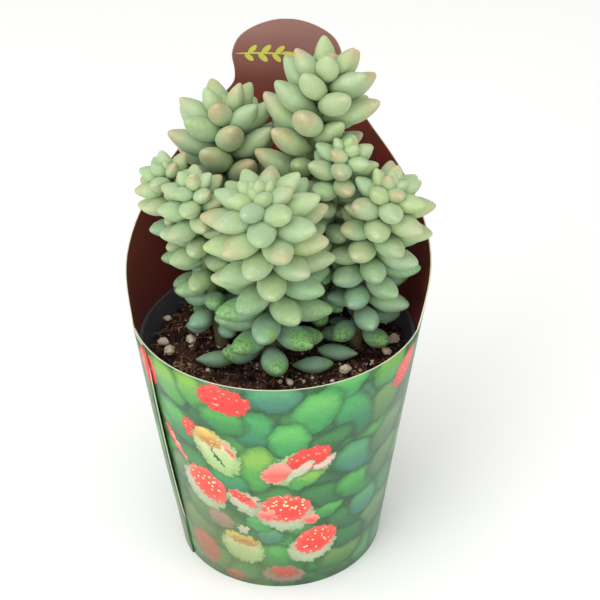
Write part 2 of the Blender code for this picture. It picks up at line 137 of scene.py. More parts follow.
class Finish:
    """A material: its Principled surface, and one way to add any other node."""

    def __init__(self, name, constants):
        self.material = bpy.data.materials.new(name)
        self.material.use_nodes = True
        self.tree = self.material.node_tree
        self.surface = self.tree.nodes["Principled BSDF"]
        for socket, value in constants.items():
            self.surface.inputs[socket].default_value = value

    def feed(self, socket, value):
        if isinstance(value, Wire):
            self.tree.links.new(value.socket, socket)
        else:
            socket.default_value = value

    def node(self, kind, settings, sockets, output=0):
        """Adds a node: its settings first, then the values or wires of its sockets."""
        made = self.tree.nodes.new(kind)
        stops = settings.pop("stops", None)
        for name, value in settings.items():
            setattr(made, name, value)
        if stops:
            while len(made.color_ramp.elements) < len(stops):
                made.color_ramp.elements.new(0.5)
            for element, (place, colour) in zip(made.color_ramp.elements, stops):
                element.position = place
                element.color = colour
        for name, value in sockets.items():
            self.feed(made.inputs[name], value)
        return Wire(self, made.outputs[output])

    def place(self):
        return self.node("ShaderNodeTexCoord", {}, {}, "Object")

    def attribute(self, name, output="Vector"):
        return self.node("ShaderNodeAttribute", {"attribute_name": name}, {}, output)

    def split(self, vector):
        made = self.node("ShaderNodeSeparateXYZ", {}, {0: vector})
        return made, made.other("Y"), made.other("Z")

    def noise(self, vector, scale, detail=2.0, rough=0.5):
        sockets = {"Vector": vector, "Scale": scale, "Detail": detail, "Roughness": rough}
        return self.node("ShaderNodeTexNoise", {}, sockets)

    def cells(self, vector, scale, feature="F1"):
        return self.node("ShaderNodeTexVoronoi", {"feature": feature}, {"Vector": vector, "Scale": scale})

    def fade(self, value, start, end):
        """0 at start, 1 at end, smooth between them; start may be the larger."""
        sockets = {"Value": value, "From Min": start, "From Max": end}
        return self.node("ShaderNodeMapRange", {"interpolation_type": "SMOOTHSTEP", "clamp": False}, sockets)

    def mix(self, share, first, second):
        """Colour: the first where the share is 0, the second where it is 1."""
        return self.node("ShaderNodeMix", {"data_type": "RGBA"}, {0: share, 6: first, 7: second}, 2)

    def relief(self, height, depth, strength=1.0):
        """Bumps of this depth feed the surface's normal."""
        sockets = {"Height": height, "Distance": depth, "Strength": strength}
        self.feed(self.surface.inputs["Normal"], self.node("ShaderNodeBump", {}, sockets))

    def colour(self, value):
        self.feed(self.surface.inputs["Base Color"], value)

    def roughness(self, value):
        self.feed(self.surface.inputs["Roughness"], value)


# %% [markdown]
# ## From a bmesh to a piece
#
# Every piece ends the same way: its bmesh becomes a mesh whose vertices are already in place, its finishes go
# into its material slots, it is parented to the root body, and the CAD parts it stands for are hidden.

# %% Finished pieces
def piece_from(work, name, finishes, stands_for, smooth=True):
    mesh = bpy.data.meshes.new(name)
    work.normal_update()
    work.to_mesh(mesh)
    work.free()
    if smooth:
        mesh.shade_smooth()
    for finish in finishes:
        mesh.materials.append(finish.material)
    thing = bpy.data.objects.new(name, mesh)
    HOME.objects.link(thing)
    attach(thing, "root")
    if stands_for:
        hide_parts(*stands_for)
    return thing


def grow_edges(work, edges):
    """Extrudes a run of edges in place. Gives the new points and the new run."""
    grown = bmesh.ops.extrude_edge_only(work, edges=edges)["geom"]
    points = {item for item in grown if isinstance(item, bmesh.types.BMVert)}
    run = [item for item in grown if isinstance(item, bmesh.types.BMEdge) and points.issuperset(item.verts)]
    return points, run


def rounder(thing, levels):
    smoothing = thing.modifiers.new("rounder", "SUBSURF")
    smoothing.levels = levels
    smoothing.render_levels = levels
    return smoothing


# %% [markdown]
# ## Camera, floor and light
#
# The camera stands a little to the right of the front and looks down at 33 degrees through a long lens, so
# the pot's rim is an open ellipse and the tab rises behind the plant. A pale floor and large soft lamps give
# the even light of a studio table.

# %% Camera
LENS = 84.0
LOOK_DOWN = 33.162
SIDEWAYS = 4.0
LEVEL = -0.457
STAND = (31.735 * MM, -354.094 * MM, 319.301 * MM)

eye = bpy.data.cameras.new("camera")
eye.lens = LENS
eye.sensor_width = 36.0
eye.clip_end = 20.0
camera = bpy.data.objects.new("camera", eye)
HOME.objects.link(camera)
aim = Matrix.Rotation(math.radians(SIDEWAYS), 4, "Z") @ Matrix.Rotation(math.radians(90 - LOOK_DOWN), 4, "X")
camera.matrix_world = Matrix.Translation(STAND) @ aim @ Matrix.Rotation(math.radians(LEVEL), 4, "Z")
bpy.context.scene.camera = camera
bpy.context.scene.view_settings.view_transform = "Standard"
print("camera at", [round(part, 3) for part in camera.location])

# %% Floor
floor_work = bmesh.new()
bmesh.ops.create_grid(floor_work, x_segments=1, y_segments=1, size=3.0)
floor_mesh = bpy.data.meshes.new("floor")
floor_work.to_mesh(floor_mesh)
floor_work.free()
floor_finish = Finish("pale_floor", {"Roughness": 0.95, "Specular IOR Level": 0.1})
floor_finish.colour(paint(252, 252, 250))
floor_mesh.materials.append(floor_finish.material)
floor = bpy.data.objects.new("floor", floor_mesh)
HOME.objects.link(floor)
floor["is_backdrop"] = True

# %% Lamps
AIM = Vector((0.0, 0.0, 90 * MM))
LAMPS = (
    ("overhead", (-0.25, -0.35, 1.25), 1.1, 6.5),
    ("front_left", (-0.8, -1.05, 0.62), 0.9, 7.0),
    ("right", (1.15, -0.35, 0.6), 0.9, 2.5),
    ("fill", (0.2, -1.3, 0.42), 0.8, 3.5),
)
for name, place, width, power in LAMPS:
    light = bpy.data.lights.new(name, "AREA")
    light.shape = "SQUARE"
    light.size = width
    light.energy = power
    lamp = bpy.data.objects.new(name, light)
    HOME.objects.link(lamp)
    lamp.location = place
    lamp.rotation_euler = (AIM - Vector(place)).to_track_quat("-Z", "Y").to_euler()
world = bpy.data.worlds.new("studio")
world.use_nodes = True
world.node_tree.nodes["Background"].inputs["Color"].default_value = paint(252, 252, 252)
world.node_tree.nodes["Background"].inputs["Strength"].default_value = 0.7
bpy.context.scene.world = world

# %% [markdown]
# ## The sleeve's sizes
#
# The sleeve is thin card rolled into a cone. These are the sizes the CAD model was drawn with. The width of
# its rim is printed beside the one in the frame, so a change there shows up here.

# %% Sleeve sizes
CARD = 0.4 * MM
SLEEVE_FOOT_RADIUS = 33.1 * MM
SLEEVE_TAPER = 0.133
SLEEVE_FRONT = 86.0 * MM
FIT = 0.3 * MM


def sleeve_radius(z):
    """Outside of the sleeve at a height."""
    return SLEEVE_FOOT_RADIUS + SLEEVE_TAPER * z


def pot_room(z):
    """Outermost radius a piece inside the sleeve may have at a height."""
    return sleeve_radius(z) - CARD - FIT


print("rim width, mm:", round(2 * sleeve_radius(SLEEVE_FRONT) / MM, 1), "of", size_of("sleeve")[0])

# %% [markdown]
# ## The print on the sleeve
#
# The outside of the card carries a picture: plump green leaves pressed together, with red and cream cactus
# flowers among them. An image would do it, but a procedural print stays sharp at any size. The card keeps its
# own flat coordinates in a mesh attribute: millimetres round the cone and millimetres up. On those, each leaf
# or petal is a soft ellipse laid over the ones before it, as a painter would work, and a cell pattern fills
# the ground behind them. The leaves are drawn a little larger than listed, so that they press together.

# %% Inks
ROLL_RADIUS = 38.5
PRINT_REPEAT = math.pi * ROLL_RADIUS
Ink = namedtuple("Ink", "upper lower rim shadow specks")
GAP = paint(24, 64, 38)
INKS = {
    "green": Ink(paint(78, 165, 74), paint(48, 127, 67), paint(35, 105, 51), 0.5, 0.0),
    "bright": Ink(paint(96, 179, 90), paint(58, 148, 80), paint(43, 126, 64), 0.42, 0.0),
    "teal": Ink(paint(66, 155, 85), paint(46, 124, 86), paint(32, 100, 64), 0.5, 0.0),
    "blue": Ink(paint(77, 153, 99), paint(59, 120, 102), paint(37, 96, 70), 0.5, 0.0),
    "lime": Ink(paint(126, 174, 74), paint(72, 151, 70), paint(50, 119, 53), 0.45, 0.0),
    "olive": Ink(paint(106, 143, 72), paint(69, 119, 64), paint(50, 91, 46), 0.55, 0.0),
    "grey": Ink(paint(96, 136, 86), paint(74, 114, 77), paint(54, 89, 54), 0.45, 0.0),
    "deep": Ink(paint(53, 122, 64), paint(40, 96, 59), paint(26, 72, 42), 0.55, 0.0),
    "red": Ink(paint(238, 62, 54), paint(222, 44, 46), paint(204, 60, 58), 0.2, 0.35),
    "speckled": Ink(paint(240, 68, 56), paint(228, 48, 50), paint(226, 96, 90), 0.15, 1.0),
    "rose": Ink(paint(242, 150, 132), paint(228, 92, 84), paint(232, 140, 128), 0.1, 0.0),
    "cream": Ink(paint(214, 210, 162), paint(168, 192, 128), paint(128, 168, 100), 0.35, 0.0),
    "white": Ink(paint(222, 186, 172), paint(176, 188, 156), paint(142, 166, 124), 0.25, 0.0),
    "straw": Ink(paint(228, 190, 92), paint(180, 126, 56), paint(188, 164, 84), 0.05, 0.4),
    "mauve": Ink(paint(172, 128, 122), paint(142, 116, 106), paint(118, 112, 86), 0.2, 0.0),
    "dull_red": Ink(paint(192, 72, 64), paint(172, 66, 60), paint(154, 82, 66), 0.2, 0.15),
}

# %% Leaves and flowers of the print
# Each row: millimetres round from the front, millimetres up, half length, half width, tilt in degrees, ink.
PRINTED = (
    (-30, 43, 5.5, 5.0, -50, "grey"),
    (-27, 22, 7.0, 6.0, -5, "olive"),
    (26, 10, 8.0, 4.5, 4, "olive"),
    (40, 21, 9.0, 5.5, 12, "grey"),
    (27, 18, 7.4, 4.6, -8, "deep"),
    (26, 27, 7.0, 4.6, -10, "deep"),
    (19, 40, 9.5, 4.6, -14, "deep"),
    (33, 31, 5.6, 5.4, 30, "blue"),
    (29, 41, 7.3, 5.0, -8, "green"),
    (40, 45, 7.5, 4.8, 34, "grey"),
    (27, 53, 7.6, 5.4, -14, "blue"),
    (40, 57, 8.2, 4.8, 36, "grey"),
    (35, 70, 7.2, 5.6, 36, "olive"),
    (36, 83, 6.0, 5.0, 34, "lime"),
    (24, 72, 8.6, 5.2, -64, "teal"),
    (21, 84, 6.0, 4.2, 28, "bright"),
    (2, 83, 6.4, 5.2, -6, "blue"),
    (13, 76, 7.8, 5.4, 60, "bright"),
    (17, 63, 7.4, 3.6, 24, "deep"),
    (-3, 70, 6.4, 5.0, 84, "teal"),
    (6, 66, 6.0, 5.0, 80, "bright"),
    (-3, 54, 8.6, 5.0, 84, "lime"),
    (-29, 79, 7.4, 5.0, -60, "lime"),
    (-20, 80, 6.6, 4.4, -62, "lime"),
    (-27, 64, 8.0, 4.6, -46, "green"),
    (-12, 72, 6.0, 4.4, -16, "green"),
    (-12, 47, 6.0, 3.8, -32, "teal"),
    (-24, 30, 7.5, 4.8, -46, "grey"),
    (1, 15, 7.0, 4.4, -8, "green"),
    (0, 24, 4.6, 3.4, 4, "blue"),
    (-3, 30, 4.6, 3.6, -6, "bright"),
    (18, 33, 5.2, 2.6, 22, "green"),
    (-11, 80, 7.0, 5.2, -8, "red"),
    (-23, 64, 3.6, 2.8, -80, "red"),
    (-15, 58, 9.2, 6.2, -60, "cream"),
    (-17, 63, 4.4, 3.4, -30, "straw"),
    (-11, 60, 3.8, 0.9, -58, "rose"),
    (-15, 56, 4.0, 0.5, -62, "deep"),
    (-38, 79, 6.2, 3.6, -84, "red"),
    (-32, 54, 5.4, 1.6, -56, "red"),
    (-30, 52, 5.0, 1.0, -56, "rose"),
    (-22, 39, 8.6, 6.6, -46, "white"),
    (-20, 42, 7.4, 5.6, -44, "speckled"),
    (-7, 38, 6.8, 4.2, -36, "white"),
    (-8, 40, 5.2, 1.8, -36, "rose"),
    (-9, 41, 3.4, 1.6, -24, "red"),
    (9, 54, 9.6, 6.6, 24, "cream"),
    (4, 53, 6.6, 3.6, 30, "rose"),
    (12, 58, 6.2, 4.2, 22, "red"),
    (9, 53, 5.6, 1.7, 46, "white"),
    (15, 53, 6.2, 1.9, 42, "white"),
    (11, 49, 5.4, 2.2, 30, "lime"),
    (5, 34, 8.8, 6.6, -6, "white"),
    (5, 37, 7.4, 5.6, -6, "speckled"),
    (-1, 34, 3.0, 2.0, 20, "rose"),
    (13, 31, 3.0, 1.8, 10, "rose"),
    (14, 18, 8.4, 6.6, 16, "white"),
    (15, 21, 7.2, 5.4, 18, "speckled"),
    (-17, 28, 5.0, 3.4, -12, "mauve"),
    (-10, 17, 7.8, 6.4, -20, "cream"),
    (-10, 21, 5.6, 2.4, -12, "straw"),
    (-9, 26, 2.0, 1.9, 0, "white"),
    (-26, 11, 6.8, 6.0, -54, "dull_red"),
    (4, 6, 7.4, 4.0, -6, "mauve"),
    (4, 7, 5.0, 2.4, -6, "dull_red"),
    (-14, 3, 4.4, 2.2, 0, "dull_red"),
    (44, 77, 6.2, 4.4, 52, "red"),
)


def lay_patch(finish, ground, place, up, row, cream_specks):
    """Lays one soft ellipse of ink, with a shadow round it, over the ground printed so far.

    The place is (across, up, 1), so one dot product turns, moves and scales it at once.
    """
    x, y, half_long, half_wide, tilt, ink_name = row
    ink = INKS[ink_name]
    turn = math.radians(tilt)
    axes = ((math.cos(turn), math.sin(turn), half_long), (-math.sin(turn), math.cos(turn), half_wide))
    along, aside = (
        finish.node(
            "ShaderNodeVectorMath", {"operation": "DOT_PRODUCT"},
            {0: place, 1: (a / half, b / half, -(a * x + b * y) / half)}, "Value",
        )
        for a, b, half in axes
    )
    reach = along * along + aside * aside
    body = finish.mix(finish.fade(up, y + 0.7 * half_wide, y - 0.7 * half_wide), ink.upper, ink.lower)
    if ink.specks:
        body = finish.mix(cream_specks * ink.specks, body, paint(250, 222, 168))
    body = finish.mix(finish.fade(reach, 0.25, 1.1), body, ink.rim)
    ground = finish.mix(finish.fade(reach, 1.55, 0.9) * ink.shadow, ground, GAP)
    return finish.mix(finish.fade(reach, 1.03, 0.8), ground, body)


# %% [markdown]
# The ground of the print is a cell pattern: each cell is one more leaf, lighter in its middle and dark in the
# creases, its tint taken from the cell's own random colour. A little noise bends the coordinates first, so no
# ellipse is a perfect one. Gloss varnish over the ink gives the card its sheen.

# %% Printed side
CELL_BEND = 4.0
LEAF_BEND, LEAF_GROWN = 2.6, 1.2
FLOWER_BEND, FLOWER_GROWN = 3.6, 1.08
LONG_LEAF = 5.0
GREEN_INKS = ("green", "bright", "teal", "blue", "lime", "olive", "grey", "deep")


def printed_side():
    finish = Finish("printed_card", {"Roughness": 0.33, "Specular IOR Level": 0.35, "Coat Roughness": 0.22})
    finish.surface.inputs["Coat Weight"].default_value = 0.12
    card = finish.attribute("card")
    across, up, _ = finish.split(card)
    bent = finish.node(
        "ShaderNodeVectorMath", {"operation": "MULTIPLY_ADD"},
        {0: finish.noise(card, 0.16, 1.0).other("Color"), 1: (CELL_BEND, CELL_BEND, 0.0), 2: card},
    )
    squash = finish.node("ShaderNodeMapping", {}, {"Vector": bent, "Scale": (0.072, 0.1, 1.0)})
    seed = finish.cells(squash, 1.0)
    crease = finish.cells(squash, 1.0, "DISTANCE_TO_EDGE")
    tint = finish.node("ShaderNodeSeparateColor", {}, {0: seed.other("Color")})
    leaf = finish.mix(tint, paint(52, 124, 62), paint(82, 158, 78))
    leaf = finish.mix(finish.fade(tint.other("Green"), 0.6, 1.0), leaf, paint(60, 122, 88))
    leaf = finish.mix(finish.fade(seed, 0.15, 0.75) * 0.7, leaf, paint(34, 94, 50))
    ground = finish.mix(finish.fade(crease, -0.14, 0.22), GAP, leaf)
    around = finish.node(
        "ShaderNodeMath", {"operation": "WRAP"}, {0: across, 1: PRINT_REPEAT / 2, 2: -PRINT_REPEAT / 2},
    )
    sheet = finish.node("ShaderNodeCombineXYZ", {}, {"X": around, "Y": up, "Z": 1.0})
    soft = finish.noise(card, 0.3, 1.0).other("Color")
    ragged = finish.noise(card, 0.62, 1.0, 0.6).other("Color")
    leaf_place, flower_place = (
        finish.node(
            "ShaderNodeVectorMath", {"operation": "MULTIPLY_ADD"}, {0: wander, 1: (bend, bend, 0.0), 2: sheet},
        )
        for wander, bend in ((soft, LEAF_BEND), (ragged, FLOWER_BEND))
    )
    specks = finish.fade(finish.cells(card, 0.62), 0.34, 0.2)
    _, leaf_up, _ = finish.split(leaf_place)
    for x, y, half_long, half_wide, tilt, ink_name in PRINTED:
        if ink_name in GREEN_INKS and half_long > LONG_LEAF:
            place, slip, grown = leaf_place, LEAF_BEND / 2, LEAF_GROWN
        else:
            place, slip, grown = flower_place, FLOWER_BEND / 2, FLOWER_GROWN
        placed = (x + slip, y + slip, half_long * grown, half_wide * grown, tilt, ink_name)
        ground = lay_patch(finish, ground, place, leaf_up, placed, specks)
    blurred = finish.fade(leaf_up, 56.0, 6.0) * finish.fade(around, 16.0, -16.0)
    ground = finish.mix(blurred * 0.5, ground, paint(112, 118, 80))
    grain = finish.noise(card, 2.6, 3.0, 0.7)
    ground = finish.mix(finish.fade(grain, 0.45, 0.8) * 0.16, ground, paint(206, 222, 180))
    veins = finish.noise(card, 1.1, 2.0)
    finish.colour(finish.mix(finish.fade(veins, 0.5, 0.8) * 0.22, ground, GAP))
    finish.roughness(0.27 + finish.noise(card, 0.12, 3.0) * 0.14)
    finish.relief(finish.noise(card, 0.06, 1.0), 0.5 * MM, 0.5)
    print("printed side:", len(finish.tree.nodes), "nodes")
    return finish


# %% [markdown]
# The inside of the card is printed in one red brown, with dark red blotches on its shoulders. Towards the head
# of the tab it turns paler and greyer: partly the card's own colour, partly a painted reflection of light off
# its gloss. The head has a small leafy sprig in yellow green. The cut edge is bare card, except where the lap
# is glued down flat and the print runs over it.

# %% Brown side
# Each leaf of the sprig: millimetres round from its middle, millimetres up, half length, half width, tilt.
SPRIG_MIDDLE = (127.0, 145.2)
SPRIG = (
    (0.0, 0.0, 6.2, 0.28, 4),
    (-6.6, -0.4, 1.9, 0.75, 10),
    (-4.4, 0.9, 1.6, 0.7, 128),
    (-3.6, -1.6, 1.6, 0.7, 58),
    (-1.2, 1.1, 1.7, 0.75, 126),
    (-0.4, -1.4, 1.7, 0.75, 56),
    (2.0, 1.3, 1.6, 0.7, 126),
    (2.8, -1.1, 1.5, 0.7, 54),
)


def brown_side():
    finish = Finish("card_back", {"Roughness": 0.46, "Specular IOR Level": 0.4})
    card = finish.attribute("card")
    across, up, _ = finish.split(card)
    # Red brown up the card. The last stop, pale and grey at the head of the tab, is partly the card's colour
    # and partly a painted reflection of light off its gloss.
    stops = [(0.0, paint(130, 49, 39)), (0.3, paint(120, 46, 36)), (0.55, paint(114, 49, 38))]
    stops += [(0.78, paint(114, 54, 42)), (1.0, paint(142, 102, 93))]
    level = (up - 60.0) / 96.0
    uneven = (finish.noise(card, 0.05, 2.0) - 0.5) * 0.2
    body = finish.node("ShaderNodeValToRGB", {"stops": stops}, {0: level + uneven})
    band = finish.fade(up, 104.0, 114.0) * finish.fade(up, 137.0, 129.0)
    blotch = finish.fade(finish.noise(card, 0.14, 3.0, 0.6), 0.5, 0.62) * band
    body = finish.mix(blotch * 0.85, body, paint(150, 34, 28))
    fine = finish.fade(finish.noise(card, 0.4, 3.0, 0.7), 0.6, 0.72) * band
    body = finish.mix(fine * 0.6, body, paint(196, 62, 44))
    for x, y, half_long, half_wide, tilt in SPRIG:
        sockets = {"Vector": card, "Location": (SPRIG_MIDDLE[0] + x, SPRIG_MIDDLE[1] + y, 0.0)}
        sockets["Rotation"] = (0.0, 0.0, math.radians(tilt))
        sockets["Scale"] = (half_long, half_wide, 1.0)
        own = finish.node("ShaderNodeMapping", {"vector_type": "TEXTURE"}, sockets)
        reach = finish.node("ShaderNodeVectorMath", {"operation": "LENGTH"}, {0: own}, "Value")
        body = finish.mix(finish.fade(reach, 1.02, 0.9), body, paint(196, 200, 74))
    finish.colour(finish.mix(finish.noise(card, 1.8, 2.0) * 0.12, body, paint(190, 150, 140)))
    finish.relief(finish.noise(card, 0.08, 1.0), 0.4 * MM, 0.4)
    print("brown side:", len(finish.tree.nodes), "nodes")
    return finish


def cut_edge():
    finish = Finish("card_edge", {"Roughness": 0.7})
    card = finish.attribute("card")
    across, up, _ = finish.split(card)
    pale = finish.mix(finish.noise(card, 0.6, 3.0), paint(196, 196, 160), paint(224, 222, 200))
    glued = 1.0 - finish.fade(up, 13.0, 20.0) * finish.fade(up, 81.0, 75.0)
    inked = finish.fade(across, 203.0, 204.0) * glued
    finish.colour(finish.mix(inked, pale, paint(66, 112, 66)))
    return finish


# %% [markdown]
# ## The card itself
#
# A profile line spun a little more than once round makes the cone, and the extra turn laps over the start,
# as glued card does: the last few degrees stand proud and end in a cut edge, which gapes between its glued
# ends. The tab is extruded upwards from the back columns, one row at a time, with each row narrowed to the
# tab's outline. A Solidify modifier then gives the card its thickness, with the brown on its inner side and
# bare card on its edges.

# %% Tab outline
# Height in millimetres, and half the tab's width there as an angle round the cone.
TAB_OUTLINE = (
    (86.0, 105.0), (89.5, 101.6), (94.0, 96.8), (98.0, 90.0), (103.0, 77.5), (109.0, 63.5), (117.0, 48.0),
    (125.0, 34.5), (132.0, 25.6), (135.0, 21.2), (137.5, 19.0), (141.0, 18.7), (145.5, 19.3), (149.5, 17.6),
    (152.0, 14.8), (154.0, 10.4), (155.3, 5.6), (155.8, 2.0),
)
ROWS_BETWEEN = 3


def smooth_row(before, start, end, after, share):
    """Point of a smooth curve through start and end, with the points on either side of them."""
    a, b, c, d = (np.array(point) for point in (before, start, end, after))
    bend = 2 * a - 5 * b + 4 * c - d
    last = 3 * b - a - 3 * c + d
    return 0.5 * (2 * b + (c - a) * share + bend * share ** 2 + last * share ** 3)


def tab_rows():
    points = [TAB_OUTLINE[0], *TAB_OUTLINE, TAB_OUTLINE[-1]]
    rows = []
    for index in range(1, len(points) - 2):
        for step in range(1, ROWS_BETWEEN + 1):
            rows.append(smooth_row(*points[index - 1:index + 3], step / ROWS_BETWEEN))
    return rows


print("rows up the tab:", len(tab_rows()))

# %% Roll the card
SEAM = -55.0
LAP = 14.0
LAP_FLAT = 0.5 * MM
LAP_RISE = 0.75 * MM
LAP_OPEN = (17.0 * MM, 78.0 * MM)
COLUMN = 3.0
BODY_ROWS = 16


def lap_lift(bearing, height):
    """How far the card stands off the cone: the last degrees of the turn ride over its start."""
    share = min(max((bearing - (SEAM + 332.0)) / 28.0, 0.0), 1.0)
    middle = min(max((height - LAP_OPEN[0]) / (LAP_OPEN[1] - LAP_OPEN[0]), 0.0), 1.0)
    gape = math.sin(math.pi * middle) ** 0.6
    return (LAP_FLAT + LAP_RISE * gape) * share * share * (3 - 2 * share)


def card_place(bearing, height):
    """A point of the card: bearing in degrees from the front towards +X."""
    wave = 0.18 * MM * math.sin(math.radians(3 * bearing) + 25 * height) * min(height / 0.05, 1.0)
    radius = sleeve_radius(height) + lap_lift(bearing, height) + wave - 0.2 * MM
    turn = math.radians(bearing)
    return Vector((radius * math.sin(turn), -radius * math.cos(turn), height))


def roll_card():
    work = bmesh.new()
    flat = work.verts.layers.float_vector.new("card")
    line = [work.verts.new((0.0, 0.0, SLEEVE_FRONT * row / BODY_ROWS)) for row in range(BODY_ROWS + 1)]
    column = [work.edges.new(pair) for pair in zip(line, line[1:])]
    for vert in line:
        vert[flat] = (SEAM - LAP, vert.co.z, 0.0)
    turns = round((360.0 + LAP) / COLUMN)
    for step in range(1, turns + 1):
        points, column = grow_edges(work, column)
        for vert in points:
            vert[flat] = (SEAM - LAP + (360.0 + LAP) * step / turns, vert.co.z, 0.0)
    half = TAB_OUTLINE[0][1]
    margin = 0.5 * COLUMN
    row = [
        edge for edge in work.edges
        if all(v.co.z > SLEEVE_FRONT - MM and abs(v[flat].x - 180.0) < half + margin for v in edge.verts)
    ]
    for height, angle in tab_rows():
        points, row = grow_edges(work, row)
        for vert in points:
            bearing = 180.0 + (vert[flat].x - 180.0) * angle / half
            vert[flat] = (bearing, height * MM, 0.0)
            vert.co.z = height * MM
        half = angle
    for vert in work.verts:
        bearing, height, _ = vert[flat]
        vert.co = card_place(bearing, height)
        vert[flat] = (math.radians(bearing) * ROLL_RADIUS, height / MM, 0.0)
    bmesh.ops.recalc_face_normals(work, faces=work.faces)
    front = min(work.faces, key=lambda face: face.calc_center_median().y)
    if front.normal.y > 0:
        bmesh.ops.reverse_faces(work, faces=work.faces)
    return work


sides = [printed_side(), brown_side(), cut_edge()]
sleeve = piece_from(roll_card(), "card_sleeve", sides, ["sleeve"])
wall = sleeve.modifiers.new("card", "SOLIDIFY")
wall.thickness = CARD
wall.offset = -1.0
wall.material_offset = 1
wall.material_offset_rim = 2
print("sleeve:", len(sleeve.data.polygons), "faces before its thickness")

# %% [markdown]
# ## The nursery pot
#
# A thin thermoformed pot: a tapering wall, a step out to a band under the rim, and a floor with drain holes.
# Its outline is one closed line spun round the axis. The holes are cut with a boolean, then a Bevel modifier
# softens every edge as forming does.

# %% Pot sizes
POT_HEIGHT = 75.5 * MM
FOOT_ROOM = 3.6 * MM
POT_WALL = 1.0 * MM
POT_FLOOR = 1.4 * MM
RIM_BAND = 6.0 * MM
RIM_STEP = 1.6 * MM
DRAIN_HOLES = 6
DRAIN_RADIUS = 3.0 * MM
DRAIN_CIRCLE = 21.0 * MM
POT_STEPS = 120


def pot_wall_radius(z):
    """Outside of the pot's tapered wall."""
    band = POT_HEIGHT - RIM_BAND
    foot = SLEEVE_FOOT_RADIUS - FOOT_ROOM
    top = pot_room(band) - RIM_STEP
    return foot + (top - foot) * z / band


# %% Pot finish
def pot_plastic():
    finish = Finish("grey_plastic", {"Roughness": 0.42, "Specular IOR Level": 0.5})
    spot = finish.place()
    drawn_out = finish.node("ShaderNodeMapping", {}, {"Vector": spot, "Scale": (1, 1, 0.15)})
    streaks = finish.noise(drawn_out, 260.0, 3.0)
    body = finish.mix(streaks, paint(74, 74, 82), paint(96, 96, 104))
    dust = finish.fade(finish.noise(spot, 420.0, 4.0, 0.65), 0.52, 0.68)
    finish.colour(finish.mix(dust * 0.35, body, paint(120, 100, 82)))
    finish.roughness(0.36 + dust * 0.3)
    finish.relief(finish.noise(spot, 900.0, 2.0), 0.05 * MM)
    return finish


# %% Spin the pot
def spin_outline(outline, steps):
    """A closed turned solid from points of radius and height, from the axis round and back to it."""
    work = bmesh.new()
    verts = [work.verts.new((radius, 0.0, height)) for radius, height in outline]
    edges = [work.edges.new(pair) for pair in zip(verts, verts[1:])]
    bmesh.ops.spin(
        work, geom=verts + edges, cent=(0.0, 0.0, 0.0), axis=(0.0, 0.0, 1.0), angle=math.tau,
        steps=steps, use_merge=True,
    )
    bmesh.ops.remove_doubles(work, verts=work.verts, dist=0.01 * MM)
    bmesh.ops.recalc_face_normals(work, faces=work.faces)
    return work


def hole_cutter():
    work = bmesh.new()
    for number in range(DRAIN_HOLES):
        angle = math.tau * (number + 0.5) / DRAIN_HOLES
        spot = Matrix.Translation((DRAIN_CIRCLE * math.cos(angle), DRAIN_CIRCLE * math.sin(angle), 0.0))
        bmesh.ops.create_cone(
            work, cap_ends=True, segments=32, radius1=DRAIN_RADIUS, radius2=DRAIN_RADIUS,
            depth=4 * POT_FLOOR, matrix=spot,
        )
    mesh = bpy.data.meshes.new("hole_cutter")
    work.to_mesh(mesh)
    work.free()
    tool = bpy.data.objects.new("hole_cutter", mesh)
    HOME.objects.link(tool)
    return tool


band = POT_HEIGHT - RIM_BAND
pot_outline = (
    (0.0, POT_FLOOR),
    (pot_wall_radius(POT_FLOOR) - POT_WALL, POT_FLOOR),
    (pot_wall_radius(band) - POT_WALL, band - RIM_STEP),
    (pot_room(band) - POT_WALL, band + RIM_STEP),
    (pot_room(POT_HEIGHT) - POT_WALL, POT_HEIGHT),
    (pot_room(POT_HEIGHT), POT_HEIGHT),
    (pot_room(band), band),
    (pot_wall_radius(band), band),
    (pot_wall_radius(0.0), 0.0),
    (0.0, 0.0),
)
pot_work = spin_outline(pot_outline, POT_STEPS)
pot = piece_from(pot_work, "nursery_pot", [pot_plastic()], ["pot"], False)
cutter = hole_cutter()
holes = pot.modifiers.new("holes", "BOOLEAN")
holes.object = cutter
holes.solver = "EXACT"
bpy.context.view_layer.update()
cut_mesh = bpy.data.meshes.new_from_object(pot.evaluated_get(bpy.context.evaluated_depsgraph_get()))
pot.modifiers.remove(holes)
pot.data = cut_mesh
cut_mesh.name = "nursery_pot"
bpy.data.objects.remove(cutter)
softened = pot.modifiers.new("softened", "BEVEL")
softened.width = 0.3 * MM
softened.segments = 3
softened.limit_method = "ANGLE"
softened.angle_limit = math.radians(30)
cut_mesh.shade_smooth()
cut_mesh.set_sharp_from_angle(angle=math.radians(35))
print("pot:", len(cut_mesh.polygons), "faces")

# %% [markdown]
# ## Peat
#
# The peat is a dark, fibrous plug with a rough top. Its plug is spun like the pot, with many rings across the
# top that noise then lifts and drops. Loose crumbs, fibres and pale grains of pumice are scattered over it
# from one seeded random source, so every run gives the same pot.

# %% Peat sizes
SOIL_DROP = 4.0 * MM
SOIL_TOP = POT_HEIGHT - SOIL_DROP
SOIL_RINGS = 46
SOIL_STEPS = 168


def soil_radius(z):
    """The peat fills the pot's tapered wall, less the gap."""
    return pot_wall_radius(z) - POT_WALL - FIT


def on_soil(share, bearing):
    """Place on the peat at a share of its radius and a bearing from +X."""
    reach = share * soil_radius(SOIL_TOP)
    return reach * math.cos(math.radians(bearing)), reach * math.sin(math.radians(bearing))


def soil_height(x, y):
    """Top of the peat: slow heaps, small clods, and a dip along the pot's wall."""
    edge = min(math.hypot(x, y) / soil_radius(SOIL_TOP), 1.0)
    heaps = 0.7 * noise.noise((70 * x, 70 * y, 3.1))
    clods = 0.55 * noise.turbulence((190 * x, 190 * y, 0.7), 3, False)
    fine = 0.4 * noise.noise((620 * x, 620 * y, 1.9))
    return SOIL_TOP + (heaps + clods + fine - 0.5 - 0.8 * edge ** 8) * MM


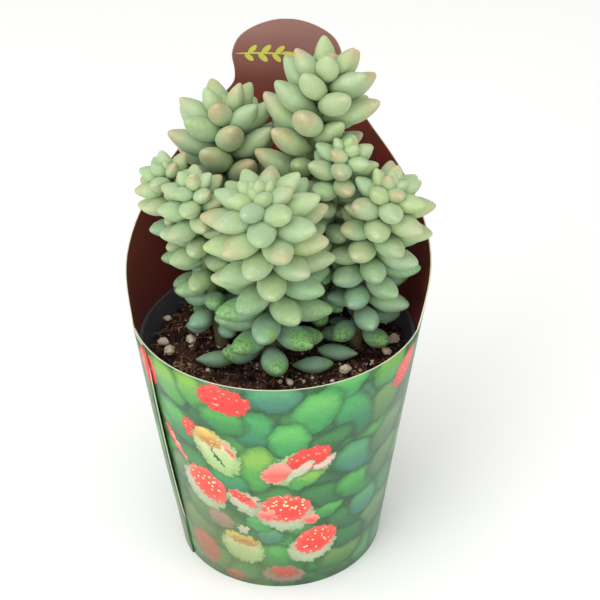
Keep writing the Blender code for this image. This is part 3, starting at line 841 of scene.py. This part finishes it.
# %% Peat finish
def peat_finish():
    finish = Finish("peat", {"Roughness": 0.92, "Specular IOR Level": 0.2})
    spot = finish.place()
    clods = finish.noise(spot, 300.0, 5.0, 0.65)
    lengthways = {"Vector": spot, "Rotation": (0, 0, 0.6), "Scale": (1.0, 0.22, 1.0)}
    fibres = finish.noise(finish.node("ShaderNodeMapping", {}, lengthways), 1100.0, 3.0, 0.6)
    body = finish.mix(finish.fade(clods, 0.38, 0.62), paint(26, 15, 13), paint(82, 54, 42))
    body = finish.mix(finish.fade(fibres, 0.54, 0.66) * 0.75, body, paint(142, 106, 82))
    body = finish.mix(finish.fade(finish.noise(spot, 90.0, 2.0), 0.58, 0.7) * 0.6, body, paint(24, 16, 18))
    dots = finish.fade(finish.cells(spot, 420.0), 0.2, 0.12)
    finish.colour(finish.mix(dots * 0.8, body, paint(206, 186, 160)))
    finish.relief(clods + fibres * 0.6, 0.8 * MM)
    return finish


peat = peat_finish()

# %% Peat plug
low = POT_FLOOR + FIT
shoulder = POT_HEIGHT - RIM_BAND - RIM_STEP
plug_outline = [(0.0, low), (soil_radius(low), low), (soil_radius(shoulder), shoulder)]
top_radii = (soil_radius(shoulder) * (1 - ring / SOIL_RINGS) for ring in range(SOIL_RINGS + 1))
plug_outline += [(radius, SOIL_TOP) for radius in top_radii]
plug = spin_outline(plug_outline, SOIL_STEPS)
for vert in plug.verts:
    if vert.co.z > SOIL_TOP - 0.1 * MM:
        vert.co.z = soil_height(vert.co.x, vert.co.y)
soil = piece_from(plug, "peat_plug", [peat], ["soil"])
print("peat:", len(soil.data.polygons), "faces")

# %% Scatter
scatter = random.Random(11)


def random_spot(wide=0.985):
    """A place spread evenly over the peat."""
    reach = wide * soil_radius(SOIL_TOP) * math.sqrt(scatter.random())
    bearing = scatter.uniform(0.0, math.tau)
    return reach * math.cos(bearing), reach * math.sin(bearing)


def add_crumb(work, x, y, size, flat, jag, raise_by=0.3):
    """A rough lump: a small ball of twenty faces with its corners pushed about."""
    made = bmesh.ops.create_icosphere(work, subdivisions=1, radius=size)
    stretch = Vector((scatter.uniform(0.8, 1.35), scatter.uniform(0.7, 1.1), flat))
    for vert in made["verts"]:
        vert.co = Vector(c * s * scatter.uniform(1 - jag, 1 + jag) for c, s in zip(vert.co, stretch))
    turn = Matrix.Rotation(scatter.uniform(0, math.tau), 3, "Z")
    lean = Matrix.Rotation(scatter.uniform(-0.6, 0.6), 3, "X")
    bmesh.ops.rotate(work, cent=(0, 0, 0), matrix=turn @ lean, verts=made["verts"])
    lift = soil_height(x, y) + raise_by * size
    bmesh.ops.translate(work, vec=(x, y, lift), verts=made["verts"])


def add_fibre(work, start, shortest, longest, radius, least_rise, most_rise):
    """A thin root or peat fibre: a three-sided rod that bends as it goes."""
    heading = scatter.uniform(0, math.tau)
    length = scatter.uniform(shortest, longest) * MM
    rise = scatter.uniform(least_rise, most_rise)
    made = bmesh.ops.create_circle(work, cap_ends=True, segments=3, radius=radius)
    place = Matrix.Rotation(heading, 4, "Z") @ Matrix.Rotation(math.radians(90), 4, "Y")
    bmesh.ops.transform(work, matrix=Matrix.Translation(start) @ place, verts=made["verts"])
    ring = list({edge for vert in made["verts"] for edge in vert.link_edges})
    bend = scatter.uniform(-0.3, 0.3)
    for step in range(4):
        points, ring = grow_edges(work, ring)
        heading += bend
        move = Vector((math.cos(heading), math.sin(heading), rise * (1 - step / 1.5))) * length / 4
        bmesh.ops.translate(work, vec=move, verts=list(points))
    bmesh.ops.edgenet_fill(work, edges=ring)


CRUMBS = 1500
crumbs = bmesh.new()
for _ in range(CRUMBS):
    x, y = random_spot()
    add_crumb(crumbs, x, y, (0.3 + 1.2 * scatter.random() ** 2.2) * MM, 0.7, 0.38)
loose_peat = piece_from(crumbs, "peat_crumbs", [peat], [], False)

# %% Fibres
def fibre_finish():
    finish = Finish("fibre", {"Roughness": 0.85})
    spot = finish.place()
    finish.colour(finish.mix(finish.noise(spot, 260.0, 3.0), paint(58, 36, 28), paint(188, 148, 116)))
    return finish


# Tufts of torn fibre on the peat: share of its radius, bearing.
CLUMPS = ((0.84, -124), (0.87, -112), (0.88, -84), (0.84, -72), (0.9, -52), (0.83, -30), (0.8, -152))
CLUMP_FIBRES = 46

LONE_FIBRES = 420
fibres = bmesh.new()
for _ in range(LONE_FIBRES):
    x, y = random_spot(0.97)
    start = Vector((x, y, soil_height(x, y) + 0.25 * MM))
    add_fibre(fibres, start, 2.0, 6.5, 0.11 * MM, -0.1, 0.35)
for share, bearing in CLUMPS:
    middle = Vector((*on_soil(share, bearing), 0.0))
    for _ in range(CLUMP_FIBRES):
        x = middle.x + scatter.gauss(0.0, 1.6 * MM)
        y = middle.y + scatter.gauss(0.0, 1.1 * MM)
        start = Vector((x, y, soil_height(x, y) + scatter.uniform(0.2, 0.9) * MM))
        add_fibre(fibres, start, 0.8, 2.4, 0.16 * MM, -0.3, 0.5)
loose_fibres = piece_from(fibres, "peat_fibres", [fibre_finish()], [], False)
print("crumbs:", len(loose_peat.data.polygons), "faces, fibres:", len(loose_fibres.data.polygons), "faces")

# %% [markdown]
# ## Pumice
#
# Pale, light grains keep the peat open. A few are large enough to be parts of their own in the CAD model, and
# those stand where they do there. Each starts as a ball, a few flat cuts make it a broken stone, and noise
# roughens it. The rest are scattered like the crumbs.

# %% Pumice
CHIP_RADIUS = 1.5 * MM
CHIP_FACETS = 9
CHIPS = (
    (0.90, -174), (0.86, -166), (0.95, 165), (0.68, -175),
    (0.67, -35), (0.58, -77), (0.91, 2), (0.87, -8),
)


def pumice_finish():
    finish = Finish("pumice", {"Roughness": 0.88, "Specular IOR Level": 0.25})
    spot = finish.place()
    body = finish.mix(finish.noise(spot, 500.0, 4.0, 0.6), paint(240, 229, 206), paint(204, 184, 154))
    pores = finish.fade(finish.cells(spot, 1500.0), 0.3, 0.12)
    finish.colour(finish.mix(pores * 0.55, body, paint(138, 108, 82)))
    finish.relief(finish.noise(spot, 900.0, 4.0, 0.7), 0.35 * MM)
    return finish


pumice = pumice_finish()
for number, (share, bearing) in enumerate(CHIPS):
    low_corner, high_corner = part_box(f"chip_{number + 1}")
    middle = (Vector(low_corner) + Vector(high_corner)) / 2
    size = 0.5 * (high_corner[2] - low_corner[2]) / 0.8
    work = bmesh.new()
    made = bmesh.ops.create_icosphere(work, subdivisions=4, radius=size)
    cuts = [Vector(scatter.uniform(-1, 1) for _ in range(3)).normalized() for _ in range(CHIP_FACETS)]
    depths = [scatter.uniform(0.6, 0.86) * size for _ in cuts]
    for vert in made["verts"]:
        for cut, depth in zip(cuts, depths):
            over = vert.co.dot(cut) - depth
            if over > 0:
                vert.co -= 0.9 * over * cut
        rough = noise.turbulence(vert.co * 1500 + Vector((5.3 * number, 0, 0)), 3, False)
        vert.co *= 1.04 - 0.16 * rough
    bmesh.ops.scale(work, vec=(1.2, 0.92, 0.8), verts=work.verts)
    bmesh.ops.rotate(work, cent=(0, 0, 0), matrix=Matrix.Rotation(1.7 * number, 3, "Z"), verts=work.verts)
    bmesh.ops.translate(work, vec=middle, verts=work.verts)
    piece_from(work, f"pumice_chip_{number + 1}", [pumice], [f"chip_{number + 1}"])

GRAINS = 230
grains = bmesh.new()
for _ in range(GRAINS):
    x, y = random_spot()
    add_crumb(grains, x, y, (0.22 + 0.8 * scatter.random() ** 2) * MM, 0.7, 0.38, 0.4)
piece_from(grains, "pumice_grains", [pumice], [], False)
print("chips:", len(CHIPS), "grains:", GRAINS)

# %% [markdown]
# ## How the shoots grow
#
# The shoots repeat the growth of the CAD model, so each leaf here lies where its simple one does there:
# leaves follow the golden angle up each stem, then turn about their bases until none runs into its
# neighbours. Each leaf counts as four spheres for this, and any that still touches is made smaller.

# %% Growth sizes
STEM_FOOT_RADIUS = 2.3 * MM
STEM_TIP_RADIUS = 1.4 * MM
KNEE_HEIGHT = 0.55
TOP_BARE = 0.02
LEAFY_SHARE = 0.90
LEAF_LENGTH = 17.0 * MM
LEAF_WIDTH = 7.7 * MM
LEAF_FLATNESS = 0.82
LEAF_PLUMPNESS = 0.6
LEAF_WIDEST = 0.55
LEAF_CURL = 0.10
LOOSE_LEAVES = 5
GOLDEN_ANGLE = math.radians(137.508)

# Each shoot: where its stem leaves the peat, where it bends and where it ends, with the end's height over
# the peat, in millimetres; its longest leaf as a share of LEAF_LENGTH; its number of leaves; the bearing
# of its top leaf; which way its leaves spiral; how wide they open; how they crowd towards the tip; and its
# smallest leaf as a share of its longest.
Shoot = namedtuple("Shoot", "name foot knee tip leaf_share leaves turn hand openness crowding smallest")
SHOOTS = (
    Shoot("front", (-2.6, -12.2), (2.2, -9.9), (-3.2, -13.4, 58.5), 1.12, 62, 92, 1, 0.94, 1.65, 0.28),
    Shoot("left", (-17.0, -1.0), (-21.3, 0.6), (-23.0, -5.4, 57.0), 0.75, 42, 283, -1, 0.95, 1.5, 0.45),
    Shoot("far_left", (-20.0, 11.7), (-26.0, 12.0), (-32.8, 7.1, 54.5), 0.73, 42, 225, -1, 0.92, 1.5, 0.55),
    Shoot("back_left", (-7.2, 18.5), (-14.6, 20.8), (-17.0, 23.6, 65.5), 1.147, 40, 212, 1, 0.66, 1.5, 0.6),
    Shoot("tall", (5.0, 14.3), (5.4, 15.5), (15.0, 18.0, 82.5), 1.147, 48, 358, 1, 0.84, 1.3, 0.58),
    Shoot("middle", (13.4, 5.0), (11.8, 7.5), (21.0, 5.5, 64.0), 0.82, 46, 62, -1, 0.95, 1.6, 0.4),
    Shoot("right", (23.9, 0.5), (26.0, 3.3), (33.2, 0.4, 55.0), 0.95, 52, 353, -1, 0.93, 1.55, 0.38),
)

# Leaves that have dropped on the peat: share of its radius, bearing, heading in degrees.
FALLEN = ((0.71, -148, 8), (0.435, -71, 8), (0.68, -20, 172))
FALLEN_SIZE = 0.72

SETTLE_STEPS = 90
LOOK_AGAIN = 10
LOOK_ROOM = 3.0 * MM
STATIONS = np.array((0.28, 0.5, 0.72, 0.9))
SPRING = 0.04
TURN_RATE = 0.45
SLIM_ROUNDS = 40
SLIM_SHARE = 0.96


# %% Grow the leaves
def leaf_girth(along):
    """Radius of a leaf, as a share of its widest, at a share of its length from its base."""
    base = np.sin(np.pi / 2 * np.clip(along / LEAF_WIDEST, 0.0, 1.0)) ** 0.9
    tip = np.cos(np.pi / 2 * np.clip((along - LEAF_WIDEST) / (1 - LEAF_WIDEST), 0.0, 1.0)) ** 0.6
    return base * tip


def opening(share):
    """Usual angle between a leaf and its stem, from the tip of the shoot (0) to its foot (1)."""
    down = (0.0, 0.08, 0.16, 0.28, 0.42, 0.7, 1.0)
    angles = (8.0, 28.0, 45.0, 62.0, 76.0, 90.0, 98.0)
    return np.radians(np.interp(share, down, angles))


def leaf_size(share, smallest):
    """Length of a leaf as a share of the shoot's longest: small at the tip, and less again at the foot."""
    grown = np.interp(share, (0.0, 0.1, 0.2, 0.32), (0.0, 0.4, 0.75, 1.0))
    return (smallest + (1.0 - smallest) * grown) * np.interp(share, (0.32, 0.8, 1.0), (1.0, 0.95, 0.84))


def stem_point(shoot, share):
    """Point and direction on a shoot's stem, from its foot (0) to its tip (1)."""
    foot = Vector((shoot.foot[0] * MM, shoot.foot[1] * MM, SOIL_TOP))
    tip = Vector((shoot.tip[0] * MM, shoot.tip[1] * MM, SOIL_TOP + shoot.tip[2] * MM))
    knee = Vector((shoot.knee[0] * MM, shoot.knee[1] * MM, foot.z + KNEE_HEIGHT * (tip.z - foot.z)))
    point = foot * (1 - share) ** 2 + knee * 2 * share * (1 - share) + tip * share ** 2
    heading = (knee - foot) * (1 - share) + (tip - knee) * share
    return point, heading.normalized()


def stem_radius(share):
    return STEM_FOOT_RADIUS + (STEM_TIP_RADIUS - STEM_FOOT_RADIUS) * share


def spiral_leaf(shoot, number, index, share, up_stem, angle, length):
    """One leaf on its stem, turned by the golden angle from the one above it."""
    point, heading = stem_point(shoot, up_stem)
    side = Vector((1.0, 0.0, 0.0))
    across = (side - heading * side.dot(heading)).normalized()
    turn = math.radians(shoot.turn) + shoot.hand * index * GOLDEN_ANGLE
    outward = Matrix.Rotation(turn, 3, heading) @ across
    return {
        "shoot": number,
        "share": share,
        "loose": shoot.leaves - index <= LOOSE_LEAVES,
        "base": point,
        "heading": heading,
        "direction": heading * math.cos(angle) + outward * math.sin(angle),
        "length": length,
        "width": LEAF_WIDTH * (length / LEAF_LENGTH) ** LEAF_PLUMPNESS,
        "stem": stem_radius(up_stem),
    }


def grow():
    """Every leaf of every shoot, in the order they sit from tip to foot, before they settle."""
    leaves = []
    for number, shoot in enumerate(SHOOTS):
        for index in range(shoot.leaves):
            share = index / (shoot.leaves - 1)
            up_stem = 1.0 - TOP_BARE - LEAFY_SHARE * share ** shoot.crowding
            angle = shoot.openness * float(opening(share))
            length = LEAF_LENGTH * shoot.leaf_share * float(leaf_size(share, shoot.smallest))
            leaves.append(spiral_leaf(shoot, number, index, share, up_stem, angle, length))
    return leaves


# %% What the leaves keep clear of
def fallen_frame(fallen):
    """Lays a leaf shape flat on the peat, along its heading."""
    share, bearing, heading = fallen
    height = SOIL_TOP + FIT + LEAF_WIDTH * FALLEN_SIZE / 2
    place = Matrix.Translation((*on_soil(share, bearing), height))
    turned = Matrix.Rotation(math.radians(heading), 4, "Z") @ Matrix.Rotation(math.radians(90), 4, "Y")
    return place @ turned @ Matrix.Rotation(math.radians(90), 4, "Z")


def still_spheres():
    """Spheres that leaves keep off: centre, radius, and the shoot whose stem it is or -1."""
    centres, radii, owners = [], [], []
    for number, shoot in enumerate(SHOOTS):
        for share in np.linspace(0.0, 0.95, 16):
            centres.append(stem_point(shoot, float(share))[0])
            radii.append(stem_radius(float(share)))
            owners.append(number)
    for chip in CHIPS:
        centres.append((*on_soil(*chip), SOIL_TOP + CHIP_RADIUS))
        radii.append(1.6 * CHIP_RADIUS)
        owners.append(-1)
    for fallen in FALLEN:
        lying = fallen_frame(fallen)
        for along in STATIONS:
            centres.append(lying @ Vector((0.0, 0.0, along * LEAF_LENGTH * FALLEN_SIZE)))
            radii.append(LEAF_WIDTH * FALLEN_SIZE / 2 * float(leaf_girth(along)))
            owners.append(-1)
    return np.array(centres), np.array(radii), np.array(owners)


def leaf_spheres(base, direction, length, width):
    centres = base[:, None, :] + direction[:, None, :] * length[:, None, None] * STATIONS[None, :, None]
    radii = width[:, None] * 0.5 * leaf_girth(STATIONS)[None, :]
    return centres, radii


def crossings(centres, radii, others, other_radii, apart):
    """How far each sphere of the first set runs into each of the second, with the unit push between them."""
    offset = centres[:, None, :] - others[None, :, :]
    distance = np.linalg.norm(offset, axis=2)
    depth = np.clip(radii[:, None] + other_radii[None, :] + apart - distance, 0.0, None)
    return depth, offset / np.maximum(distance, 1e-9)[:, :, None]


# The tab's outline as the CAD model has it: share of the tab's height, half-width as an angle.
TAB_HEIGHT = 69.8 * MM
TAB_STEPS = (
    (0.05, 101.0), (0.18, 89.0), (0.33, 62.5), (0.55, 35.5), (0.67, 25.0),
    (0.735, 18.6), (0.85, 19.6), (0.925, 17.2), (0.97, 11.5), (1.0, 4.0),
)


def sleeve_top(centres):
    """Height of the sleeve's edge in the direction of each point, with a margin over the front rim."""
    bearing = np.degrees(np.abs(np.arctan2(centres[:, 0], centres[:, 1])))
    heights = [SLEEVE_FRONT + TAB_HEIGHT * share for share, _ in reversed(TAB_STEPS)]
    angles = [angle for _, angle in reversed(TAB_STEPS)]
    return np.interp(bearing, angles + [180.0], heights + [SLEEVE_FRONT]) + 6.0 * MM


def wall_push(centres, radii):
    """Push on spheres that run into the sleeve or the peat."""
    push = np.zeros_like(centres)
    reach = np.linalg.norm(centres[:, :2], axis=1)
    room = pot_room(centres[:, 2]) - radii
    inside = np.clip(reach - room, 0.0, None) * (centres[:, 2] < sleeve_top(centres))
    push[:, :2] -= centres[:, :2] / np.maximum(reach, 1e-9)[:, None] * inside[:, None]
    push[:, 2] += np.clip(SOIL_TOP + FIT + radii - centres[:, 2], 0.0, None)
    return push


# %% Settle the leaves
def columns(leaves, *names):
    """These values of all the leaves, each as one array."""
    return (np.array([leaf[name] for leaf in leaves]) for name in names)


def settle(leaves):
    """Turns the leaves about their bases until none runs into another, a stem, the peat or the sleeve."""
    base, start, length, width, shoot = columns(leaves, "base", "direction", "length", "width", "shoot")
    still, still_radii, still_shoot = still_spheres()
    count = len(STATIONS)
    owner = np.repeat(np.arange(len(leaves)), count)
    own_stem = shoot[owner][:, None] == still_shoot[None, :]
    lever = np.tile(STATIONS, len(leaves))
    direction = start.copy()
    for step in range(SETTLE_STEPS):
        centres, radii = leaf_spheres(base, direction, length, width)
        flat, flat_radii = centres.reshape(-1, 3), radii.reshape(-1)
        if step % LOOK_AGAIN == 0:
            one, other = close_pairs(flat, flat_radii, owner)
            apart = np.where(shoot[owner[one]] == shoot[owner[other]], 0.0, FIT)
        offset = flat[one] - flat[other]
        distance = np.maximum(np.linalg.norm(offset, axis=1), 1e-9)
        depth = np.clip(flat_radii[one] + flat_radii[other] + apart - distance, 0.0, None)
        shove = offset * (0.5 * depth / distance)[:, None]
        push = np.zeros_like(flat)
        np.add.at(push, one, shove)
        np.add.at(push, other, -shove)
        depth, away = crossings(flat, flat_radii, still, still_radii, FIT)
        depth[own_stem] = 0.0
        push += (depth[:, :, None] * away).sum(axis=1)
        push += wall_push(flat, flat_radii)
        turn = (push * lever[:, None]).reshape(-1, count, 3).sum(axis=1) / length[:, None]
        direction = direction + TURN_RATE * turn + SPRING * (start - direction)
        direction /= np.linalg.norm(direction, axis=1, keepdims=True)
    for leaf, way in zip(leaves, direction):
        leaf["direction"] = Vector(way)
    slim(leaves, still, still_radii, still_shoot)
    return leaves


def close_pairs(centres, radii, owner):
    """Pairs of spheres on different leaves that are near enough to meet soon."""
    distance = np.linalg.norm(centres[:, None, :] - centres[None, :, :], axis=2)
    near = distance < radii[:, None] + radii[None, :] + LOOK_ROOM
    near &= owner[:, None] < owner[None, :]
    return np.nonzero(near)


def slim(leaves, still, still_radii, still_shoot):
    """Takes a little off any leaf that still touches a piece it is not joined to."""
    base, way, long, wide = columns(leaves, "base", "direction", "length", "width")
    shoot, loose = columns(leaves, "shoot", "loose")
    count = len(STATIONS)
    owner = np.repeat(np.arange(len(leaves)), count)
    own_stem = shoot[owner][:, None] == still_shoot[None, :]
    centres, radii = leaf_spheres(base, way, long, wide)
    one, other = close_pairs(centres.reshape(-1, 3), radii.reshape(-1), owner)
    joined = (shoot[owner[one]] == shoot[owner[other]]) & ~loose[owner[one]] & ~loose[owner[other]]
    one, other = one[~joined], other[~joined]
    shrink = np.ones(len(leaves))
    for _ in range(SLIM_ROUNDS):
        centres, radii = leaf_spheres(base, way, long * shrink, wide * shrink)
        flat, flat_radii = centres.reshape(-1, 3), radii.reshape(-1)
        worst = np.linalg.norm(wall_push(flat, flat_radii), axis=1)
        depth = flat_radii[one] + flat_radii[other] + FIT - np.linalg.norm(flat[one] - flat[other], axis=1)
        np.maximum.at(worst, one, depth)
        np.maximum.at(worst, other, depth)
        depth, _ = crossings(flat, flat_radii, still, still_radii, FIT)
        depth[own_stem] = 0.0
        worst = np.maximum(worst, depth.max(axis=1))
        touching = worst.reshape(-1, count).max(axis=1) > 0.0
        if not touching.any():
            break
        shrink[touching] *= SLIM_SHARE
    for leaf, share in zip(leaves, shrink):
        leaf["shrink"] = float(share)


leaves = settle(grow())
print("leaves:", len(leaves), "smallest kept share:", round(min(leaf["shrink"] for leaf in leaves), 2))

# %% [markdown]
# ## Leaf skin
#
# A leaf is pale sage where it is young and bluer where it is old, with a waxy bloom. Near its tip the bloom
# turns tan in the sun, and handling rubs it away in dark, speckled patches. A few leaves are yellow green in
# places. Each leaf carries its own numbers in a mesh attribute: how far along it a point is, two random
# numbers, and how far down the shoot it sits.

# %% Leaf finish
def leaf_skin(name, faded=False):
    finish = Finish(name, {"Roughness": 0.5, "Specular IOR Level": 0.42, "Subsurface Weight": 0.1})
    finish.surface.inputs["Subsurface Radius"].default_value = (0.6, 1.0, 0.35)
    finish.surface.inputs["Subsurface Scale"].default_value = 1.6 * MM
    finish.surface.inputs["Sheen Weight"].default_value = 0.16
    finish.surface.inputs["Sheen Roughness"].default_value = 0.4
    spot = finish.place()
    _, _, up = finish.split(spot)
    marks = finish.attribute("leaf", "Color")
    parts = finish.node("ShaderNodeSeparateColor", {}, {0: marks})
    along, dice, dice_two = parts, parts.other("Green"), parts.other("Blue")
    young = finish.fade(up + (dice - 0.5) * 14 * MM, 80 * MM, 116 * MM)
    cloud = finish.noise(spot, 130.0, 3.0, 0.55)
    fresh = finish.mix(dice, paint(154, 180, 142), paint(172, 190, 140))
    body = finish.mix(young, paint(128, 168, 140), fresh)
    greener = finish.mix(young, paint(108, 158, 104), paint(156, 184, 112))
    body = finish.mix(finish.fade(cloud, 0.42, 0.72) * 0.45, body, greener)
    body = finish.mix(finish.fade(along, 0.3, 0.0) * 0.5, body, paint(120, 156, 96))
    sunny = finish.fade(up, 96 * MM, 136 * MM) * finish.fade(dice_two, 0.3, 0.95)
    blush = finish.fade(along + (cloud - 0.5) * 0.6, 0.6, 1.05) * sunny
    body = finish.mix(blush * 0.8, body, paint(190, 158, 122))
    rub_place = finish.fade(along + (cloud - 0.5) * 0.5, 0.5, 0.86) * (1.0 - young)
    rub_place = rub_place * finish.fade(dice_two, 0.35, 0.6)
    specks = finish.fade(finish.noise(spot, 1500.0, 3.0, 0.7), 0.5, 0.58)
    rubbed = finish.mix(specks, paint(126, 178, 82), paint(50, 104, 54))
    body = finish.mix(rub_place * 0.8, body, rubbed)
    lime = finish.fade(cloud, 0.52, 0.7) * finish.fade(dice_two, 0.34, 0.26)
    lime = lime * finish.fade(up, 108 * MM, 92 * MM)
    body = finish.mix(lime * 0.7, body, paint(136, 180, 72))
    bloom = finish.noise(spot, 420.0, 4.0, 0.65)
    body = finish.mix(finish.fade(bloom, 0.45, 0.75) * 0.22, body, paint(214, 226, 206))
    freckles = finish.fade(finish.cells(spot, 330.0), 0.085, 0.05) * finish.fade(dice, 0.4, 0.7)
    body = finish.mix(freckles * 0.45, body, paint(96, 104, 70))
    if faded:
        body = finish.mix(0.1 + cloud * 0.4, body, paint(110, 128, 92))
    finish.colour(body)
    finish.roughness(0.44 + bloom * 0.16)
    swell = finish.noise(spot, 260.0, 3.0, 0.5) + finish.noise(spot, 1400.0, 2.0) * 0.15
    finish.relief(swell, 0.3 * MM, 0.55)
    return finish


skin = leaf_skin("leaf_skin")
faded_skin = leaf_skin("dropped_leaf_skin", True)

# %% [markdown]
# ## Leaf shape
#
# Each leaf starts as a coarse ball whose rings take the leaf's outline, and one Subdivision Surface modifier
# rounds them all. The cage is drawn slightly large, because subdivision draws it in. The face towards the
# shoot's tip is flatter, the tip is a soft point, and no two leaves are quite alike.

# %% Shape a leaf
LEAF_SIDES = 8
LEAF_RINGS = 7
CAGE_GROWTH = 1.25
TIP_GROWTH = 0.035
SOFT_POINT = 0.11


def new_work():
    work = bmesh.new()
    work.verts.layers.float_color.new("leaf")
    return work


def leaf_frame(leaf, gap):
    """Places a leaf shape, +Z along the leaf and +Y to its inner face, this far from the stem's axis."""
    along = leaf["direction"]
    inner = (leaf["heading"] - along * leaf["heading"].dot(along)).normalized()
    flat = inner.cross(along)
    origin = leaf["base"] + along * gap
    return Matrix((
        (flat.x, inner.x, along.x, origin.x),
        (flat.y, inner.y, along.y, origin.y),
        (flat.z, inner.z, along.z, origin.z),
        (0.0, 0.0, 0.0, 1.0),
    ))


def add_leaf(work, length, width, placed, share, dice):
    """Adds one closed leaf: a rounded spindle, flatter inside, curling to its inner face."""
    layer = work.verts.layers.float_color["leaf"]
    made = bmesh.ops.create_uvsphere(work, u_segments=LEAF_SIDES, v_segments=LEAF_RINGS, radius=1.0)
    first, second, third = dice.random(), dice.random(), dice.random()
    sway = (third - 0.5) * 0.06
    point = SOFT_POINT * (1.2 - 0.7 * min(share * 1.6, 1.0))
    for vert in made["verts"]:
        along = 0.5 * (1.0 + vert.co.z)
        ring = math.hypot(vert.co.x, vert.co.y)
        girth = float(leaf_girth(along)) * (1.0 - point * max(along - 0.6, 0.0) / 0.4)
        girth *= CAGE_GROWTH * (1.0 + 0.035 * (dice.random() - 0.5))
        spread = girth * width / 2 / ring if ring > 1e-4 else 0.0
        face = 0.9 if vert.co.y > 0 else 1.08
        curl = LEAF_CURL * length * (along ** 2 - along)
        reach = (along * (1 + TIP_GROWTH + 0.3 * point * along ** 6) - 0.5 * TIP_GROWTH) * length
        x = vert.co.x * spread + sway * length * along * (along - 1.0)
        vert.co = Vector((x, vert.co.y * spread * LEAF_FLATNESS * face + curl, reach))
        vert[layer] = (along, first, second, share)
    bmesh.ops.transform(work, matrix=placed, verts=made["verts"])


# %% [markdown]
# The very tip of a shoot is a tight bud of tiny leaves, which carry on the same spiral upwards. The stem
# between the leaves is a tapering tube, extruded ring by ring.

# %% Buds and stems
BUD_LEAVES = 6
STEM_SIDES = 12
STEM_RINGS = 26
ROOT_DEPTH = 6.0 * MM


def add_bud(work, shoot, number, dice):
    longest = LEAF_LENGTH * shoot.leaf_share
    for step in range(BUD_LEAVES):
        inward = step / BUD_LEAVES
        angle = math.radians(13 - 10 * inward)
        length = longest * (0.31 - 0.13 * inward)
        leaf = spiral_leaf(shoot, number, -1 - step, 0.0, 1.0 - 0.01 * step, angle, length)
        placed = leaf_frame(leaf, 0.02 * longest * step)
        add_leaf(work, length, leaf["width"] * 1.05, placed, 0.0, dice)


def add_stem(work, shoot):
    side = Vector((1.0, 0.0, 0.0))
    foot = stem_point(shoot, 0.0)[0] - Vector((0.0, 0.0, ROOT_DEPTH))
    spots = [(foot, Vector((0.0, 0.0, 1.0)), STEM_FOOT_RADIUS)]
    for step in range(STEM_RINGS):
        share = step / (STEM_RINGS - 1)
        knots = 1.0 + 0.05 * math.sin(2.4 * step)
        spots.append((*stem_point(shoot, share), stem_radius(share) * knots))
    bmesh.ops.create_circle(work, cap_ends=True, segments=STEM_SIDES, radius=1.0)
    ring, points = list(work.edges), list(work.verts)
    frame_now = Matrix.Identity(4)
    for step, (point, heading, girth) in enumerate(spots):
        if step:
            points, ring = grow_edges(work, ring)
        across = (side - heading * side.dot(heading)).normalized()
        turned = Matrix((across, heading.cross(across), heading)).transposed().to_4x4()
        frame_next = Matrix.Translation(point) @ turned @ Matrix.Scale(girth, 4)
        bmesh.ops.transform(work, matrix=frame_next @ frame_now.inverted(), verts=list(points))
        frame_now = frame_next
    bmesh.ops.contextual_create(work, geom=ring)
    bmesh.ops.recalc_face_normals(work, faces=work.faces)


def stem_finish():
    finish = Finish("stem", {"Roughness": 0.6, "Specular IOR Level": 0.35})
    spot = finish.place()
    _, _, up = finish.split(spot)
    body = finish.mix(finish.fade(up, 74 * MM, 110 * MM), paint(122, 112, 78), paint(150, 176, 122))
    finish.colour(finish.mix(finish.noise(spot, 500.0, 3.0), body, paint(96, 100, 66)))
    finish.relief(finish.noise(spot, 700.0, 3.0), 0.3 * MM)
    return finish


# %% Make the shoots
LEAF_ROUNDING = 2
bark = stem_finish()
dice = random.Random(5)
worst_gap = 0.0
for number, shoot in enumerate(SHOOTS):
    stem_work = bmesh.new()
    add_stem(stem_work, shoot)
    piece_from(stem_work, f"{shoot.name}_stem", [bark], [f"shoot_{shoot.name}"])
    work = new_work()
    loose = 0
    for leaf in (leaf for leaf in leaves if leaf["shoot"] == number):
        length, width = leaf["length"] * leaf["shrink"], leaf["width"] * leaf["shrink"]
        if not leaf["loose"]:
            add_leaf(work, length, width, leaf_frame(leaf, 0.0), leaf["share"], dice)
            continue
        loose += 1
        gap = leaf["stem"] / max(leaf["direction"].cross(leaf["heading"]).length, 0.5)
        single = new_work()
        add_leaf(single, length - gap, width, leaf_frame(leaf, gap), leaf["share"], dice)
        node = f"leaf_{shoot.name}_{loose}"
        rounder(piece_from(single, f"{shoot.name}_leaf_{loose}", [skin], [node]), LEAF_ROUNDING)
        tip = leaf["base"] + leaf["direction"] * length
        low_corner, high_corner = (Vector(corner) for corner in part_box(node))
        outside = max(max(low - part, part - high) for low, part, high in zip(low_corner, tip, high_corner))
        worst_gap = max(worst_gap, outside)
    add_bud(work, shoot, number, dice)
    upper = piece_from(work, f"{shoot.name}_shoot", [skin], [f"shoot_{shoot.name}"])
    rounder(upper, LEAF_ROUNDING)
    print(shoot.name, "shoot:", len(upper.data.polygons), "cage faces")
print("furthest that a loose leaf's tip lies outside its CAD leaf, mm:", round(worst_gap / MM, 2))

# %% Dropped leaves
for number, fallen in enumerate(FALLEN):
    work = new_work()
    add_leaf(work, LEAF_LENGTH * FALLEN_SIZE, LEAF_WIDTH * FALLEN_SIZE, fallen_frame(fallen), 0.9, dice)
    name, node = f"dropped_leaf_{number + 1}", f"fallen_leaf_{number + 1}"
    rounder(piece_from(work, name, [faded_skin], [node]), LEAF_ROUNDING)

# %% [markdown]
# ## Sizes and the end
#
# Both boxes, the CAD model's and the finished model's, are printed in millimetres.

# %% Sizes
visual_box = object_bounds()
boxes = {"cad": [list(corner) for corner in cad_box], "visual": [list(corner) for corner in visual_box]}
for name, (low_corner, high_corner) in boxes.items():
    print(name, "box, mm:", [round((b - a) / MM, 1) for a, b in zip(low_corner, high_corner)])
